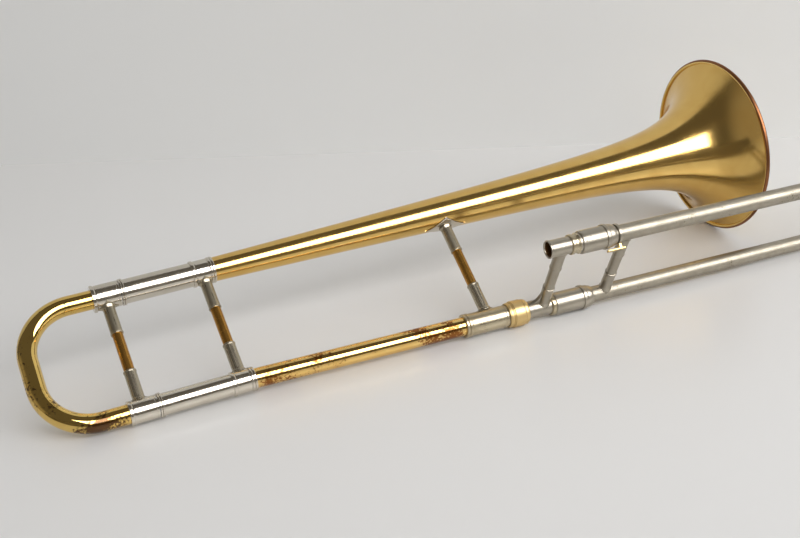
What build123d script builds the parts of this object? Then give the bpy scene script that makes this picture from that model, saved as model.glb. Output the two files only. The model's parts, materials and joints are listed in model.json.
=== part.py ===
from build123d import *
from math import cos, radians, sin
import os

# A tenor trombone in B flat, lying at rest on a table. Everything is built in the instrument's own frame:
# X runs along the bell from the tuning crook to the bell's mouth, Y from the neck's axis to the bell's
# axis, and Z towards the side that the hand slide is turned to. Stations are X distances from the cross
# run of the tuning crook. The last section lays the whole instrument down, in millimetres, +Z up.

# Layout
bell_offset = 110.7  # from the neck's axis to the bell's axis
slide_spacing = 83.4  # between the two tubes of the hand slide
outer_tube_radius = 7.5
outer_wall = 0.4
outer_bore = outer_tube_radius - outer_wall
stocking_clearance = 0.07
stocking_step = 0.28  # how far the oversized ends of the inner tubes stand out
stocking_radius = outer_bore - stocking_clearance
inner_tube_radius = stocking_radius - stocking_step

# From the slide's inner tubes out to the neck: each tube or ring is one wall or clearance larger than what it holds
tenon_wall = 1.45
tenon_radius = inner_tube_radius + tenon_wall
tenon_clearance = 0.05
thread_wall = 1.25
receiver_thread_radius = tenon_radius + tenon_clearance + thread_wall
receiver_shoulder = 0.76
receiver_radius = receiver_thread_radius + receiver_shoulder
receiver_wall = 1.61
neck_radius = receiver_radius - receiver_wall
neck_step = 0.75  # from the neck pipe to the sleeve it follows
lower_sleeve_radius = neck_radius + neck_step
slide_turn = 79.1  # angle from the bell plane to the hand slide's plane, degrees
splay = 1.95  # how far the neck and slide lean away from the bell, degrees
lean = -0.44  # the same out of the bell plane, degrees

# Tuning slide
crook_radius = 8.4
crook_wall = 0.5
crook_bend = 43.0
crook_joint = 68.0  # station where the crook's ends meet the legs
crook_ferrule_start = 63.5
crook_ferrule_length = 24.0
upper_sleeve_radius = 10.7
sleeve_wall = 0.5
leg_wall = 0.45
leg_clearance = 0.06
leg_end = 158.0
seam_gap = 0.5  # between the tuning slide's ferrules and the sleeve's mouth when pushed in
mouth_ring_length = 3.5
ring_height = 1.15  # how far a bead stands above its tube
ferrule_wall = 0.5
bead_length = 3.0

# Bell
sleeve_end = 164.0  # station where the bell and the neck pipe start
body_ferrule_start = 151.0
body_ferrule_length = 20.5
bell_root_radius = 10.3
bell_taper = 0.0193
bell_mouth = 711.6
bell_seam = 595.0  # station where the spun flare is joined to the stem
flare_height = 66.1
flare_reach = 80.5
flare_power = 2.59
bell_wall = 0.5
rim_radius = 2.2
rim_wire_gap = 0.05

# Neck and receiver
neck_wall = 0.5
receiver_start = 367.5
receiver_step = 410.0
receiver_end = 421.0
neck_depth = 22.0  # how far the neck pipe enters the receiver

# Lock nut
nut_start = 411.0
nut_length = 20.0
nut_band = 0.7
nut_web = 6.0
nut_edge = 1.4
nut_step = 5.0  # from each end to the wide band
nut_slope = 2.0
thread_clearance = 0.35
nut_wall = 2.45
nut_radius = receiver_thread_radius + thread_clearance + nut_wall

# Inner slide
tenon_start = 396.0
flange_lip = 1.2
flange_radius = tenon_radius + flange_lip
flange_thickness = 1.6
flange_gap = 0.4
barrel_start = 459.5
upper_barrel_start = 462.4
barrel_end = 488.5
top_collar_wall = 1.1
top_collar_radius = outer_tube_radius + top_collar_wall
barrel_room = 1.9  # from the top collar to the barrel's outside
barrel_radius = top_collar_radius + barrel_room
barrel_wall = 0.8
barrel_ring_length = 11.0
barrel_ring_height = 1.0
barrel_ring_radius = barrel_radius + barrel_ring_height
barrel_mouth_gap = 0.5
barrel_floor = 2.0
barrel_edge = 1.0
inner_tube_wall = 0.45
stocking_length = 100.0
cork_length = 12.0
receiver_mouth = 433.5
mouthpiece_step = 0.25  # from the inner tube's bore
mouthpiece_bore = inner_tube_radius - inner_tube_wall + mouthpiece_step
mouthpiece_chamfer = 0.5
mouthpiece_wall = 1.25
mouthpiece_tube_radius = mouthpiece_bore + mouthpiece_wall
leadpipe_wall = 0.35
leadpipe_length = 190.0
collar_height = 1.3
collar_radius = mouthpiece_tube_radius + collar_height
collar_length = 8.0

# Outer slide
outer_top = 491.0
top_collar_length = 6.0
bow_station = 1110.0
inner_tube_gap = 6.0  # from the inner tubes' ends to the bow
inner_tube_end = bow_station - inner_tube_gap
bow_step = 0.1
bow_radius = outer_tube_radius - bow_step
bow_ferrule_length = 14.0
bow_ferrule_wall = 0.9
guard_thickness = 0.6
guard_angle = 110.0
guard_edge = 1.5  # the guard covers the tube from this far outside the tube's own axis
bumper_radius = 6.0
bumper_length = 10.0
bumper_socket_radius = 6.8
bumper_socket_length = 5.0

# Braces
crook_brace_station = 75.0
sleeve_brace_station = 161.0
bell_brace_station = 394.0
inner_brace_station = 448.6
outer_brace_station = 514.4
brace_radius = 4.6
socket_radius = 5.6
socket_length = 27.0
grip_radius = 4.9
grip_socket_radius = 5.6
grip_socket_length = 21.0
gusset_height = 14.0
gusset_length = 12.0
gusset_thickness = 3.0
plate_thickness = 0.8
plate_half_length = 9.0
plate_half_width = 7.5
bell_plate_half_length = 21.0
bell_plate_half_width = 12.0
bell_plate_crown = 0.3  # the bell widens under the plate, so the socket sits this far out

# Slide lock
lock_gap = 2.1  # from the barrel ring to the lock's ring
lock_start = barrel_end + barrel_ring_length + lock_gap
lock_ring_length = 3.0
lock_ring_wall = 1.8
lock_ring_radius = outer_tube_radius + lock_ring_wall
lock_clearance = 0.06
lock_bar_gap = 0.8
lock_bar_inner = barrel_ring_radius + lock_bar_gap
lock_bar_thickness = 2.2
lock_bar_width = 4.4
lock_bar_start = 493.5
lock_bar_turn = 62.0  # about the slide tube, from the tube plane, degrees

# Water key
nipple_from_bow = 40.0
nipple_station = bow_station - nipple_from_bow
nipple_radius = 3.2
nipple_height = 3.6
nipple_bore = 1.6
key_reach = 16.0  # from the pin to the nipple
key_pivot_station = nipple_station - key_reach
key_pin_lift = 5.5  # above the tube
key_pin_height = outer_tube_radius + key_pin_lift  # above the tube's axis
key_pin_radius = 0.9
key_width = 4.6
key_thickness = 1.6
key_arm = 27.0
key_arm_rise = 15.0
key_cup_radius = 4.2
key_pad_thickness = 1.6
key_clearance = 0.06
post_thickness = 1.4
post_gap = 0.3
tiny_gap = 0.05


# Directions and lines: the plane's z_dir runs along the tube, and its x_dir points to the tube beside it
along_bell = Vector(1, 0, 0)
towards_bell = Vector(0, 1, 0)
tilt = radians(splay)
rise = radians(lean)
along_slide = Vector(cos(tilt) * cos(rise), -sin(tilt) * cos(rise), sin(rise))
slide_side = (towards_bell - along_slide * along_slide.dot(towards_bell)).normalized()
slide_out = along_slide.cross(slide_side)
across_slide = slide_side * cos(radians(slide_turn)) + slide_out * sin(radians(slide_turn))
neck_root = Vector(sleeve_end, 0, 0) - along_slide * sleeve_end

bell_line = Plane(origin=(0, bell_offset, 0), x_dir=-towards_bell, z_dir=along_bell)
lower_line = Plane(origin=(0, 0, 0), x_dir=towards_bell, z_dir=along_bell)
neck_line = Plane(origin=neck_root, x_dir=across_slide, z_dir=along_slide)
slide_line = Plane(origin=neck_root + across_slide * slide_spacing, x_dir=-across_slide, z_dir=along_slide)
slide_face = Plane(origin=neck_root, x_dir=along_slide, z_dir=along_slide.cross(across_slide))


def on_line(line, station):
    return line.origin + line.z_dir * station


def lengthwise(line):
    """The plane through a tube's axis: x is the station and y is the radius."""
    return Plane(origin=line.origin, x_dir=line.z_dir, z_dir=line.z_dir.cross(line.x_dir))


def tube(line, start, end, outer, inner):
    with BuildPart() as piece:
        with BuildSketch(line.offset(start)):
            Circle(outer)
            Circle(inner, mode=Mode.SUBTRACT)
        extrude(amount=end - start)
    return piece


def turned(line, outline):
    corners = [point for index, point in enumerate(outline) if point != outline[index - 1]]
    with BuildPart() as piece:
        with BuildSketch(lengthwise(line)):
            with BuildLine():
                Polyline(*corners, close=True)
            make_face()
        revolve(axis=Axis(line.origin, line.z_dir))
    return piece


def group(*members):
    """Like pieces that share one node, as separate solids."""
    with BuildPart() as pair:
        for member in members:
            add(member.part)
    return pair


def bead(start, end, base, top):
    """The outline of a half-round ring, from its start to its end, without its bore."""
    quarter = (end - start) / 4
    side = quarter / 3
    return [(start, base), (start + side, top - quarter), (start + quarter, top), (end - quarter, top),
            (end - side, top - quarter), (end, base)]


def ferrule(line, start, length, seam, radius, first_bore, second_bore, double_end):
    """A sleeve over a joint with a bead at each end; its bore steps where the two tubes meet."""
    end = start + length
    body = radius + ferrule_wall
    top = radius + ring_height
    outline = bead(start, start + bead_length, body, top)
    if double_end:
        middle = end - bead_length * 0.75
        outline += bead(end - bead_length * 1.5, middle, body, top) + bead(middle, end, body, top)
    outline += [(end, second_bore), (seam, second_bore), (seam, first_bore), (start, first_bore)]
    return turned(line, outline)


def bell_radius(station):
    stem = bell_root_radius + bell_taper * (station - sleeve_end)
    return stem + flare_height * (flare_reach / (flare_reach + bell_mouth - station)) ** flare_power


def bell_slope(station):
    flare = flare_height * (flare_reach / (flare_reach + bell_mouth - station)) ** flare_power
    return bell_taper + flare * flare_power / (flare_reach + bell_mouth - station)


def bell_outline(depth, start, end, steps):
    """Points of the bell's outline, sunk by depth along its normal, closer together at the mouth."""
    points = []
    for step in range(steps + 1):
        station = end - (end - start) * (1 - step / steps) ** 2
        slope = bell_slope(station)
        length = (1 + slope * slope) ** 0.5
        points.append((station + depth * slope / length, bell_radius(station) - depth / length))
    return points


# Bell section: the stem and the spun flare, which has a rolled rim over a wire
rim_centre = (bell_mouth, bell_radius(bell_mouth) - bell_wall / 2)


def bell_part(start, end, steps, rim):
    outer_points = bell_outline(0, start, end, steps)
    inner_points = bell_outline(bell_wall, start, end, steps)
    with BuildPart() as piece:
        with BuildSketch(lengthwise(bell_line)):
            with BuildLine():
                Spline(*outer_points)
                Line(outer_points[-1], inner_points[-1])
                Spline(*reversed(inner_points))
                Line(inner_points[0], outer_points[0])
            make_face()
            if rim:
                with Locations(rim_centre):
                    Circle(rim_radius)
                    Circle(rim_radius - bell_wall, mode=Mode.SUBTRACT)
        revolve(axis=Axis(bell_line.origin, bell_line.z_dir))
    return piece


bell_branch = bell_part(sleeve_end, bell_seam, 8, False)
spun_flare = bell_part(bell_seam, bell_mouth, 16, True)

with BuildPart() as rim_wire:
    with BuildSketch(lengthwise(bell_line)):
        with Locations(rim_centre):
            Circle(rim_radius - bell_wall - rim_wire_gap)
    revolve(axis=Axis(bell_line.origin, bell_line.z_dir))

# Bell section: outer tubes of the tuning slide, their mouth rings and the ferrules to bell and neck
mouth = crook_ferrule_start + crook_ferrule_length + seam_gap
sleeve_bores = {"upper": upper_sleeve_radius - sleeve_wall, "lower": lower_sleeve_radius - sleeve_wall}


def sleeve(line, radius):
    return tube(line, mouth + tiny_gap, sleeve_end, radius, radius - sleeve_wall)


def mouth_ring(line, radius):
    end = mouth + mouth_ring_length
    middle = mouth + mouth_ring_length / 2
    valley = radius + ferrule_wall
    top = radius + ring_height
    beads = bead(mouth, middle, valley, top) + bead(middle, end, valley, top)
    return turned(line, beads + [(end, radius), (mouth, radius)])


upper_sleeve = sleeve(bell_line, upper_sleeve_radius)
lower_sleeve = sleeve(lower_line, lower_sleeve_radius)
upper_mouth_ring = mouth_ring(bell_line, upper_sleeve_radius)
lower_mouth_ring = mouth_ring(lower_line, lower_sleeve_radius)
bell_ferrule_end = bell_outline(0, sleeve_end, body_ferrule_start + body_ferrule_length, 1)[-1]
bell_ferrule = ferrule(bell_line, body_ferrule_start, body_ferrule_length, sleeve_end,
                       upper_sleeve_radius, upper_sleeve_radius, bell_ferrule_end[1] + tiny_gap, True)

with BuildPart() as neck_ferrule:
    add(ferrule(lower_line, body_ferrule_start, body_ferrule_length, sleeve_end,
                lower_sleeve_radius, lower_sleeve_radius, neck_radius - neck_wall, True).part)
    with BuildSketch(neck_line.offset(sleeve_end)):
        Circle(neck_radius)
    extrude(amount=body_ferrule_length, mode=Mode.SUBTRACT)

# Bell section: neck pipe and the receiver that the hand slide screws on to
neck_end = receiver_start + neck_depth
neck_pipe = tube(neck_line, sleeve_end, neck_end, neck_radius, neck_radius - neck_wall)
receiver_bore = tenon_radius + tenon_clearance
ring_end = receiver_start + 2 * bead_length
neck_receiver = turned(neck_line, bead(receiver_start, receiver_start + bead_length, receiver_radius,
                                       receiver_radius + ring_height / 2)
                       + bead(receiver_start + bead_length, ring_end, receiver_radius,
                              receiver_radius + ring_height / 2)
                       + [(receiver_step, receiver_radius), (receiver_step, receiver_thread_radius),
                          (receiver_end, receiver_thread_radius), (receiver_end, receiver_bore),
                          (neck_end, receiver_bore), (neck_end, neck_radius),
                          (receiver_start, neck_radius)])


# Braces: a tube between two sockets, each on a pointed plate that lies round its tube
def brace_plane(foot, head):
    """A plane at the foot of a brace, with z_dir towards its head and x_dir along the instrument."""
    return Plane(origin=foot, x_dir=along_bell, z_dir=(head - foot).normalized())


def plate(line, station, up, half_length, half_width, radius):
    """A pointed plate, lying round the tube on the side that the direction up points to."""
    face = Plane(origin=on_line(line, station), x_dir=line.z_dir, z_dir=up)
    with BuildPart() as piece:
        with BuildSketch(line.offset(station - half_length)):
            Circle(radius + plate_thickness)
            Circle(radius, mode=Mode.SUBTRACT)
        extrude(amount=2 * half_length)
        with BuildSketch(face):
            Polygon((-half_length, 0), (0, half_width), (half_length, 0), (0, -half_width))
        extrude(amount=radius + 2 * plate_thickness, mode=Mode.INTERSECT)
    return piece


def socket(plane, line, start, end, outer, inner, seat):
    """A brace socket from start to end, cut to sit on a plate of the radius seat round the line."""
    with BuildPart() as piece:
        with BuildSketch(plane.offset(start)):
            Circle(outer)
            Circle(inner, mode=Mode.SUBTRACT)
        extrude(amount=end - start)
        with BuildSketch(line):
            Circle(seat)
        extrude(amount=bell_mouth, mode=Mode.SUBTRACT)
    return piece


def brace(foot_line, head_line, station, foot_seat, head_seat, tube_radius, cup_radius, cup_length, wall=0.6):
    """Foot socket, head socket and tube of a brace that spans two lines at one station."""
    foot = on_line(foot_line, station)
    head = on_line(head_line, station)
    span = (head - foot).length
    plane = brace_plane(foot, head)
    lower_end = foot_seat + cup_length
    upper_start = span - head_seat - cup_length
    foot_socket = socket(plane, foot_line, foot_seat / 2, lower_end, cup_radius, tube_radius, foot_seat)
    head_socket = socket(plane, head_line, upper_start, span - head_seat / 2, cup_radius, tube_radius,
                         head_seat)
    reach = cup_length * 0.75
    middle = tube(plane, lower_end - reach, upper_start + reach, tube_radius, tube_radius - wall)
    return foot_socket, head_socket, middle


crook_upper_seat = upper_sleeve_radius + ferrule_wall
crook_lower_seat = lower_sleeve_radius + ferrule_wall
sleeve_brace_foot, sleeve_brace_head, sleeve_brace_tube = brace(
    lower_line, bell_line, sleeve_brace_station, crook_lower_seat, crook_upper_seat, brace_radius,
    socket_radius, socket_length)
crook_brace_foot, crook_brace_head, crook_brace_tube = brace(
    lower_line, bell_line, crook_brace_station, crook_lower_seat, crook_upper_seat, brace_radius,
    socket_radius, socket_length)
bell_seat = bell_radius(bell_brace_station) + plate_thickness + bell_plate_crown
receiver_seat = receiver_radius + plate_thickness
bell_brace_foot, bell_brace_head, bell_brace_tube = brace(
    neck_line, bell_line, bell_brace_station, receiver_seat, bell_seat, brace_radius,
    socket_radius, socket_length)
brace_up = (on_line(bell_line, bell_brace_station) - on_line(neck_line, bell_brace_station)).normalized()
bell_brace_saddle = plate(neck_line, bell_brace_station, brace_up - along_slide * along_slide.dot(brace_up),
                          plate_half_length, plate_half_width, receiver_radius)

with BuildPart() as bell_plate:
    plate_start = bell_brace_station - bell_plate_half_length
    plate_end = bell_brace_station + bell_plate_half_length
    under = bell_outline(0, plate_start, plate_end, 4)
    over = bell_outline(-plate_thickness, plate_start, plate_end, 4)
    with BuildSketch(lengthwise(bell_line)):
        with BuildLine():
            Polyline(*under, *reversed(over), close=True)
        make_face()
    revolve(axis=Axis(bell_line.origin, bell_line.z_dir))
    with BuildSketch(Plane(origin=on_line(bell_line, bell_brace_station), x_dir=along_bell,
                           z_dir=-towards_bell)):
        Polygon((-bell_plate_half_length, 0), (0, bell_plate_half_width), (bell_plate_half_length, 0),
                (0, -bell_plate_half_width))
    extrude(amount=2 * bell_seat, mode=Mode.INTERSECT)

# Tuning slide
with BuildPart() as crook:
    with BuildLine() as crook_path:
        FilletPolyline((crook_joint, bell_offset), (0, bell_offset), (0, 0), (crook_joint, 0),
                       radius=crook_bend)
    with BuildSketch(crook_path.line ^ 0):
        Circle(crook_radius)
        Circle(crook_radius - crook_wall, mode=Mode.SUBTRACT)
    sweep()

upper_leg_radius = sleeve_bores["upper"] - leg_clearance
lower_leg_radius = sleeve_bores["lower"] - leg_clearance
upper_leg = tube(bell_line, crook_joint, leg_end, upper_leg_radius, upper_leg_radius - leg_wall)
lower_leg = tube(lower_line, crook_joint, leg_end, lower_leg_radius, lower_leg_radius - leg_wall)
crook_upper_ferrule = ferrule(bell_line, crook_ferrule_start, crook_ferrule_length, crook_joint,
                              upper_sleeve_radius, crook_radius, upper_leg_radius, False)
crook_lower_ferrule = ferrule(lower_line, crook_ferrule_start, crook_ferrule_length, crook_joint,
                              lower_sleeve_radius, crook_radius, lower_leg_radius, False)

# Lock nut: its chamber runs over the receiver's thread and its web bears on the tenon's flange
nut_end = nut_start + nut_length
web_start = nut_end - nut_web
chamber = receiver_thread_radius + thread_clearance
nut_bore = tenon_radius + tenon_clearance
nut_shoulder = nut_radius - nut_edge
nut_groove = nut_radius - nut_band
lock_nut = turned(neck_line, [
    (nut_start, chamber + thread_clearance), (nut_start, nut_shoulder), (nut_start + nut_slope, nut_groove),
    (nut_start + nut_step, nut_groove), (nut_start + nut_step, nut_radius), (nut_end - nut_step, nut_radius),
    (nut_end - nut_step, nut_groove), (nut_end - nut_slope, nut_groove), (nut_end, nut_shoulder),
    (nut_end, nut_bore), (web_start, nut_bore), (web_start, chamber),
    (nut_start + thread_clearance, chamber)])

# Inner slide: tenon, mouthpiece receiver, cork barrels, inner tubes and the brace that is held
flange_start = receiver_end + flange_gap
tenon = turned(neck_line, [
    (tenon_start, inner_tube_radius), (tenon_start, tenon_radius), (flange_start, tenon_radius),
    (flange_start, flange_radius), (flange_start + flange_thickness, flange_radius),
    (flange_start + flange_thickness, tenon_radius), (barrel_start, tenon_radius),
    (barrel_start, inner_tube_radius)])
tube_bore = inner_tube_radius - inner_tube_wall
lower_inner_tube = tube(neck_line, tenon_start, inner_tube_end, inner_tube_radius, tube_bore)
receiver_foot = upper_barrel_start + barrel_floor
upper_inner_tube = tube(slide_line, receiver_foot, inner_tube_end, inner_tube_radius, tube_bore)
mouthpiece_receiver = turned(slide_line, [
    (receiver_mouth, mouthpiece_bore + mouthpiece_chamfer), (receiver_mouth, mouthpiece_tube_radius),
    (upper_barrel_start, mouthpiece_tube_radius), (upper_barrel_start, collar_radius),
    (receiver_foot, collar_radius), (receiver_foot, mouthpiece_bore),
    (receiver_mouth + mouthpiece_chamfer, mouthpiece_bore)])
leadpipe_end = receiver_foot + leadpipe_length
leadpipe = tube(slide_line, receiver_foot, leadpipe_end, tube_bore, tube_bore - leadpipe_wall)
collar_start = upper_barrel_start - collar_length
collar_middle = upper_barrel_start - collar_length / 2
collar_valley = mouthpiece_tube_radius + ferrule_wall
upper_collar = turned(slide_line, bead(collar_start, collar_middle, collar_valley, collar_radius)
                      + bead(collar_middle, upper_barrel_start, collar_valley, collar_radius + 0.6)
                      + [(upper_barrel_start, mouthpiece_tube_radius),
                         (collar_start, mouthpiece_tube_radius)])
lower_collar = turned(neck_line, bead(barrel_start - 4.0, barrel_start, tenon_radius, barrel_radius - 0.4))


def cork_barrel(line, start):
    bore = inner_tube_radius
    chamber_radius = barrel_radius - barrel_wall
    return turned(line, [
        (start, bore), (start, barrel_radius - barrel_edge), (start + barrel_edge, barrel_radius),
        (barrel_end, barrel_radius), (barrel_end, chamber_radius), (start + barrel_floor, chamber_radius),
        (start + barrel_floor, bore)])


def barrel_ring(line):
    end = barrel_end + barrel_ring_length
    chamber_radius = barrel_radius - barrel_wall
    mouth_radius = top_collar_radius + barrel_mouth_gap
    return turned(line, [
        (barrel_end, chamber_radius), (barrel_end, barrel_ring_radius - 1.2),
        (barrel_end + 1.5, barrel_ring_radius), (end - 5.5, barrel_ring_radius),
        (end - 2.5, barrel_ring_radius - 0.8), (end - 0.7, barrel_ring_radius - 2.0),
        (end, mouth_radius + 0.2), (end, mouth_radius), (barrel_end + 1.0, mouth_radius)])


def cork(line, start):
    chamber_radius = barrel_radius - barrel_wall
    return tube(line, start, start + cork_length, chamber_radius - tiny_gap, inner_tube_radius + tiny_gap)


def stocking(line):
    return tube(line, inner_tube_end - stocking_length, inner_tube_end, stocking_radius, inner_tube_radius)


upper_barrel = cork_barrel(slide_line, receiver_foot)
lower_barrel = cork_barrel(neck_line, barrel_start)
upper_barrel_ring = barrel_ring(slide_line)
lower_barrel_ring = barrel_ring(neck_line)
upper_cork = cork(slide_line, receiver_foot + barrel_floor + tiny_gap)
lower_cork = cork(neck_line, barrel_start + barrel_floor + tiny_gap)
upper_stocking = stocking(slide_line)
lower_stocking = stocking(neck_line)
inner_brace_foot, inner_brace_head, inner_brace_tube = brace(
    neck_line, slide_line, inner_brace_station, tenon_radius, mouthpiece_tube_radius, grip_radius,
    grip_socket_radius, grip_socket_length)

# A flat web that stiffens the corner between the inner brace and the tenon
with BuildPart() as brace_gusset:
    corner = inner_brace_station - grip_socket_radius
    gusset_start = corner - gusset_length
    gusset_top = tenon_radius + gusset_height
    gusset_waist = (corner - gusset_length / 6, tenon_radius + gusset_height / 6)
    with BuildSketch(slide_face.offset(-gusset_thickness / 2)):
        with BuildLine():
            Line((gusset_start, tenon_radius), (corner, tenon_radius))
            Line((corner, tenon_radius), (corner, gusset_top))
            Bezier((corner, gusset_top), gusset_waist, (gusset_start, tenon_radius))
        make_face()
    extrude(amount=gusset_thickness)
    with BuildSketch(neck_line.offset(gusset_start - 1)):
        Circle(tenon_radius)
    extrude(amount=2 * gusset_length, mode=Mode.SUBTRACT)
    with BuildSketch(brace_plane(on_line(neck_line, inner_brace_station),
                                 on_line(slide_line, inner_brace_station))):
        Circle(grip_socket_radius)
    extrude(amount=slide_spacing / 2, mode=Mode.SUBTRACT)

# Outer slide
def outer_tube(line):
    return tube(line, outer_top, bow_station, outer_tube_radius, outer_bore)


def top_collar(line):
    return tube(line, outer_top, outer_top + top_collar_length, top_collar_radius, outer_tube_radius)


def bow_ferrule(line):
    start = bow_station - bow_ferrule_length
    top = outer_tube_radius + bow_ferrule_wall
    return turned(line, bead(start, start + bead_length, top, top + ring_height / 2)
                  + [(bow_station, top), (bow_station, outer_tube_radius), (start, outer_tube_radius)])


def slide_plate(line, up):
    return plate(line, outer_brace_station, up, plate_half_length, plate_half_width, outer_tube_radius)


upper_outer_tube = outer_tube(slide_line)
lower_outer_tube = outer_tube(neck_line)
upper_top_collar = top_collar(slide_line)
lower_top_collar = top_collar(neck_line)
upper_bow_ferrule = bow_ferrule(slide_line)
lower_bow_ferrule = bow_ferrule(neck_line)
lower_slide_plate = slide_plate(neck_line, across_slide)
upper_slide_plate = slide_plate(slide_line, -across_slide)
outer_seat = outer_tube_radius + plate_thickness
outer_brace_foot, outer_brace_head, outer_brace_tube = brace(
    neck_line, slide_line, outer_brace_station, outer_seat, outer_seat, grip_radius, grip_socket_radius,
    grip_socket_length)

half_spacing = slide_spacing / 2
with BuildPart() as bow:
    with BuildLine(slide_face) as bow_path:
        ThreePointArc((bow_station, 0), (bow_station + half_spacing, half_spacing),
                      (bow_station, slide_spacing))
    with BuildSketch(bow_path.line ^ 0):
        Circle(bow_radius)
        Circle(bow_radius - crook_wall, mode=Mode.SUBTRACT)
    sweep()

bow_centre = slide_face.from_local_coords((bow_station, half_spacing, 0))
guard_turn = radians(-guard_angle / 2)
guard_start = along_slide * cos(guard_turn) + across_slide * sin(guard_turn)
with BuildPart() as bow_guard:
    with BuildSketch(Plane(origin=bow_centre, x_dir=guard_start, z_dir=slide_face.z_dir.cross(guard_start))):
        with Locations((half_spacing, 0)):
            Circle(bow_radius + guard_thickness)
            Circle(bow_radius, mode=Mode.SUBTRACT)
        with Locations((half_spacing + guard_edge, 0)):
            Rectangle(2 * bow_radius, 4 * bow_radius, align=(Align.MIN, Align.CENTER), mode=Mode.INTERSECT)
    revolve(axis=Axis(bow_centre, slide_face.z_dir), revolution_arc=guard_angle)

tip_line = Plane(origin=neck_root + across_slide * half_spacing, x_dir=across_slide, z_dir=along_slide)
tip = bow_station + half_spacing + bow_radius + guard_thickness
bumper_socket = turned(tip_line, [
    (tip, 0), (tip, bumper_socket_radius - 1.0), (tip + 1.0, bumper_socket_radius),
    (tip + bumper_socket_length, bumper_socket_radius), (tip + bumper_socket_length, bumper_radius),
    (tip + 1.5, bumper_radius), (tip + 1.5, 0)])
bumper = turned(tip_line, [
    (tip + 1.5, 0), (tip + 1.5, bumper_radius), (tip + bumper_length - 2.0, bumper_radius),
    (tip + bumper_length, bumper_radius - 2.0), (tip + bumper_length, 0)])

# Slide lock: a ring that turns on the upper outer tube, with a bar that reaches back over the barrel ring
with BuildPart() as slide_lock:
    with BuildSketch(slide_line.offset(lock_start)):
        Circle(lock_ring_radius)
    extrude(amount=lock_ring_length)
    bar_turn = radians(lock_bar_turn)
    bar_up = -across_slide * cos(bar_turn) + slide_face.z_dir * sin(bar_turn)
    bar_side = along_slide.cross(bar_up)
    with BuildSketch(Plane(origin=on_line(slide_line, lock_bar_start), x_dir=bar_up, z_dir=along_slide)):
        with Locations((lock_bar_inner + lock_bar_thickness / 2, 0)):
            Rectangle(lock_bar_thickness, lock_bar_width)
    extrude(amount=lock_start + lock_ring_length - lock_bar_start)
    with BuildSketch(Plane(origin=on_line(slide_line, lock_start), x_dir=bar_up, z_dir=along_slide)):
        Rectangle(lock_bar_inner + lock_bar_thickness, lock_bar_width, align=(Align.MIN, Align.CENTER))
    extrude(amount=lock_ring_length)
    with BuildSketch(slide_line.offset(lock_start - 1)):
        Circle(outer_tube_radius + lock_clearance)
    extrude(amount=lock_ring_length + 2, mode=Mode.SUBTRACT)

# Water key, between the two outer tubes near the bow
key_face = Plane(origin=on_line(neck_line, key_pivot_station), x_dir=along_slide, z_dir=across_slide)
pin_axis_plane = Plane(origin=on_line(neck_line, key_pivot_station) + across_slide * key_pin_height,
                       x_dir=along_slide, z_dir=slide_face.z_dir)
nipple_plane = Plane(origin=on_line(neck_line, nipple_station), x_dir=along_slide, z_dir=across_slide)
nipple_top = outer_tube_radius + nipple_height

with BuildPart() as water_key_nipple:
    with BuildSketch(nipple_plane.offset(outer_tube_radius / 2)):
        Circle(nipple_radius)
        Circle(nipple_bore, mode=Mode.SUBTRACT)
    extrude(amount=nipple_top - outer_tube_radius / 2)
    with BuildSketch(neck_line.offset(nipple_station - 10.0)):
        Circle(outer_tube_radius)
    extrude(amount=20.0, mode=Mode.SUBTRACT)

with BuildPart() as drilled_tube:
    add(lower_outer_tube.part)
    with BuildSketch(nipple_plane):
        Circle(nipple_bore)
    extrude(amount=nipple_top, mode=Mode.SUBTRACT)
lower_outer_tube = drilled_tube

knuckle_radius = key_pin_radius + 1.5
post_side = key_width / 2 + post_gap
with BuildPart() as water_key_saddle:
    with BuildSketch(neck_line.offset(key_pivot_station - 4.5)):
        Circle(outer_tube_radius + plate_thickness)
        Circle(outer_tube_radius, mode=Mode.SUBTRACT)
    extrude(amount=9.0)
    with BuildSketch(key_face):
        Rectangle(9.0, 2 * (post_side + post_thickness))
    extrude(amount=2 * outer_tube_radius, mode=Mode.INTERSECT)
    for side in (-post_side - post_thickness, post_side):
        with BuildSketch(pin_axis_plane.offset(side)):
            Circle(knuckle_radius)
            with Locations((0, -key_pin_height / 2)):
                Rectangle(2 * knuckle_radius, key_pin_height)
            Circle(key_pin_radius, mode=Mode.SUBTRACT)
        extrude(amount=post_thickness)
    with BuildSketch(neck_line.offset(key_pivot_station - 20.0)):
        Circle(outer_tube_radius)
    extrude(amount=40.0, mode=Mode.SUBTRACT)

with BuildPart() as water_key_pin:
    with BuildSketch(pin_axis_plane.offset(-post_side - post_thickness)):
        Circle(key_pin_radius)
    extrude(amount=2 * (post_side + post_thickness))

pad_top = nipple_top + tiny_gap + key_pad_thickness
key_low = pad_top - key_pin_height
with BuildPart() as water_key_lever:
    with BuildSketch(pin_axis_plane.offset(-key_width / 2)):
        Circle(knuckle_radius)
        with Locations((0, key_low)):
            Rectangle(key_reach, key_thickness, align=(Align.MIN, Align.MIN))
        with Locations(Location((0, 0, 0), (0, 0, -key_arm_rise))):
            Rectangle(key_arm, key_thickness, align=(Align.MAX, Align.CENTER))
    extrude(amount=key_width)
    with BuildSketch(nipple_plane.offset(pad_top)):
        Circle(key_cup_radius)
    extrude(amount=key_thickness)
    with BuildSketch(pin_axis_plane.offset(-key_width)):
        Circle(key_pin_radius + key_clearance)
    extrude(amount=2 * key_width, mode=Mode.SUBTRACT)

with BuildPart() as water_key_pad:
    with BuildSketch(nipple_plane.offset(pad_top - key_pad_thickness)):
        Circle(key_cup_radius - 0.6)
    extrude(amount=key_pad_thickness)

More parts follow.
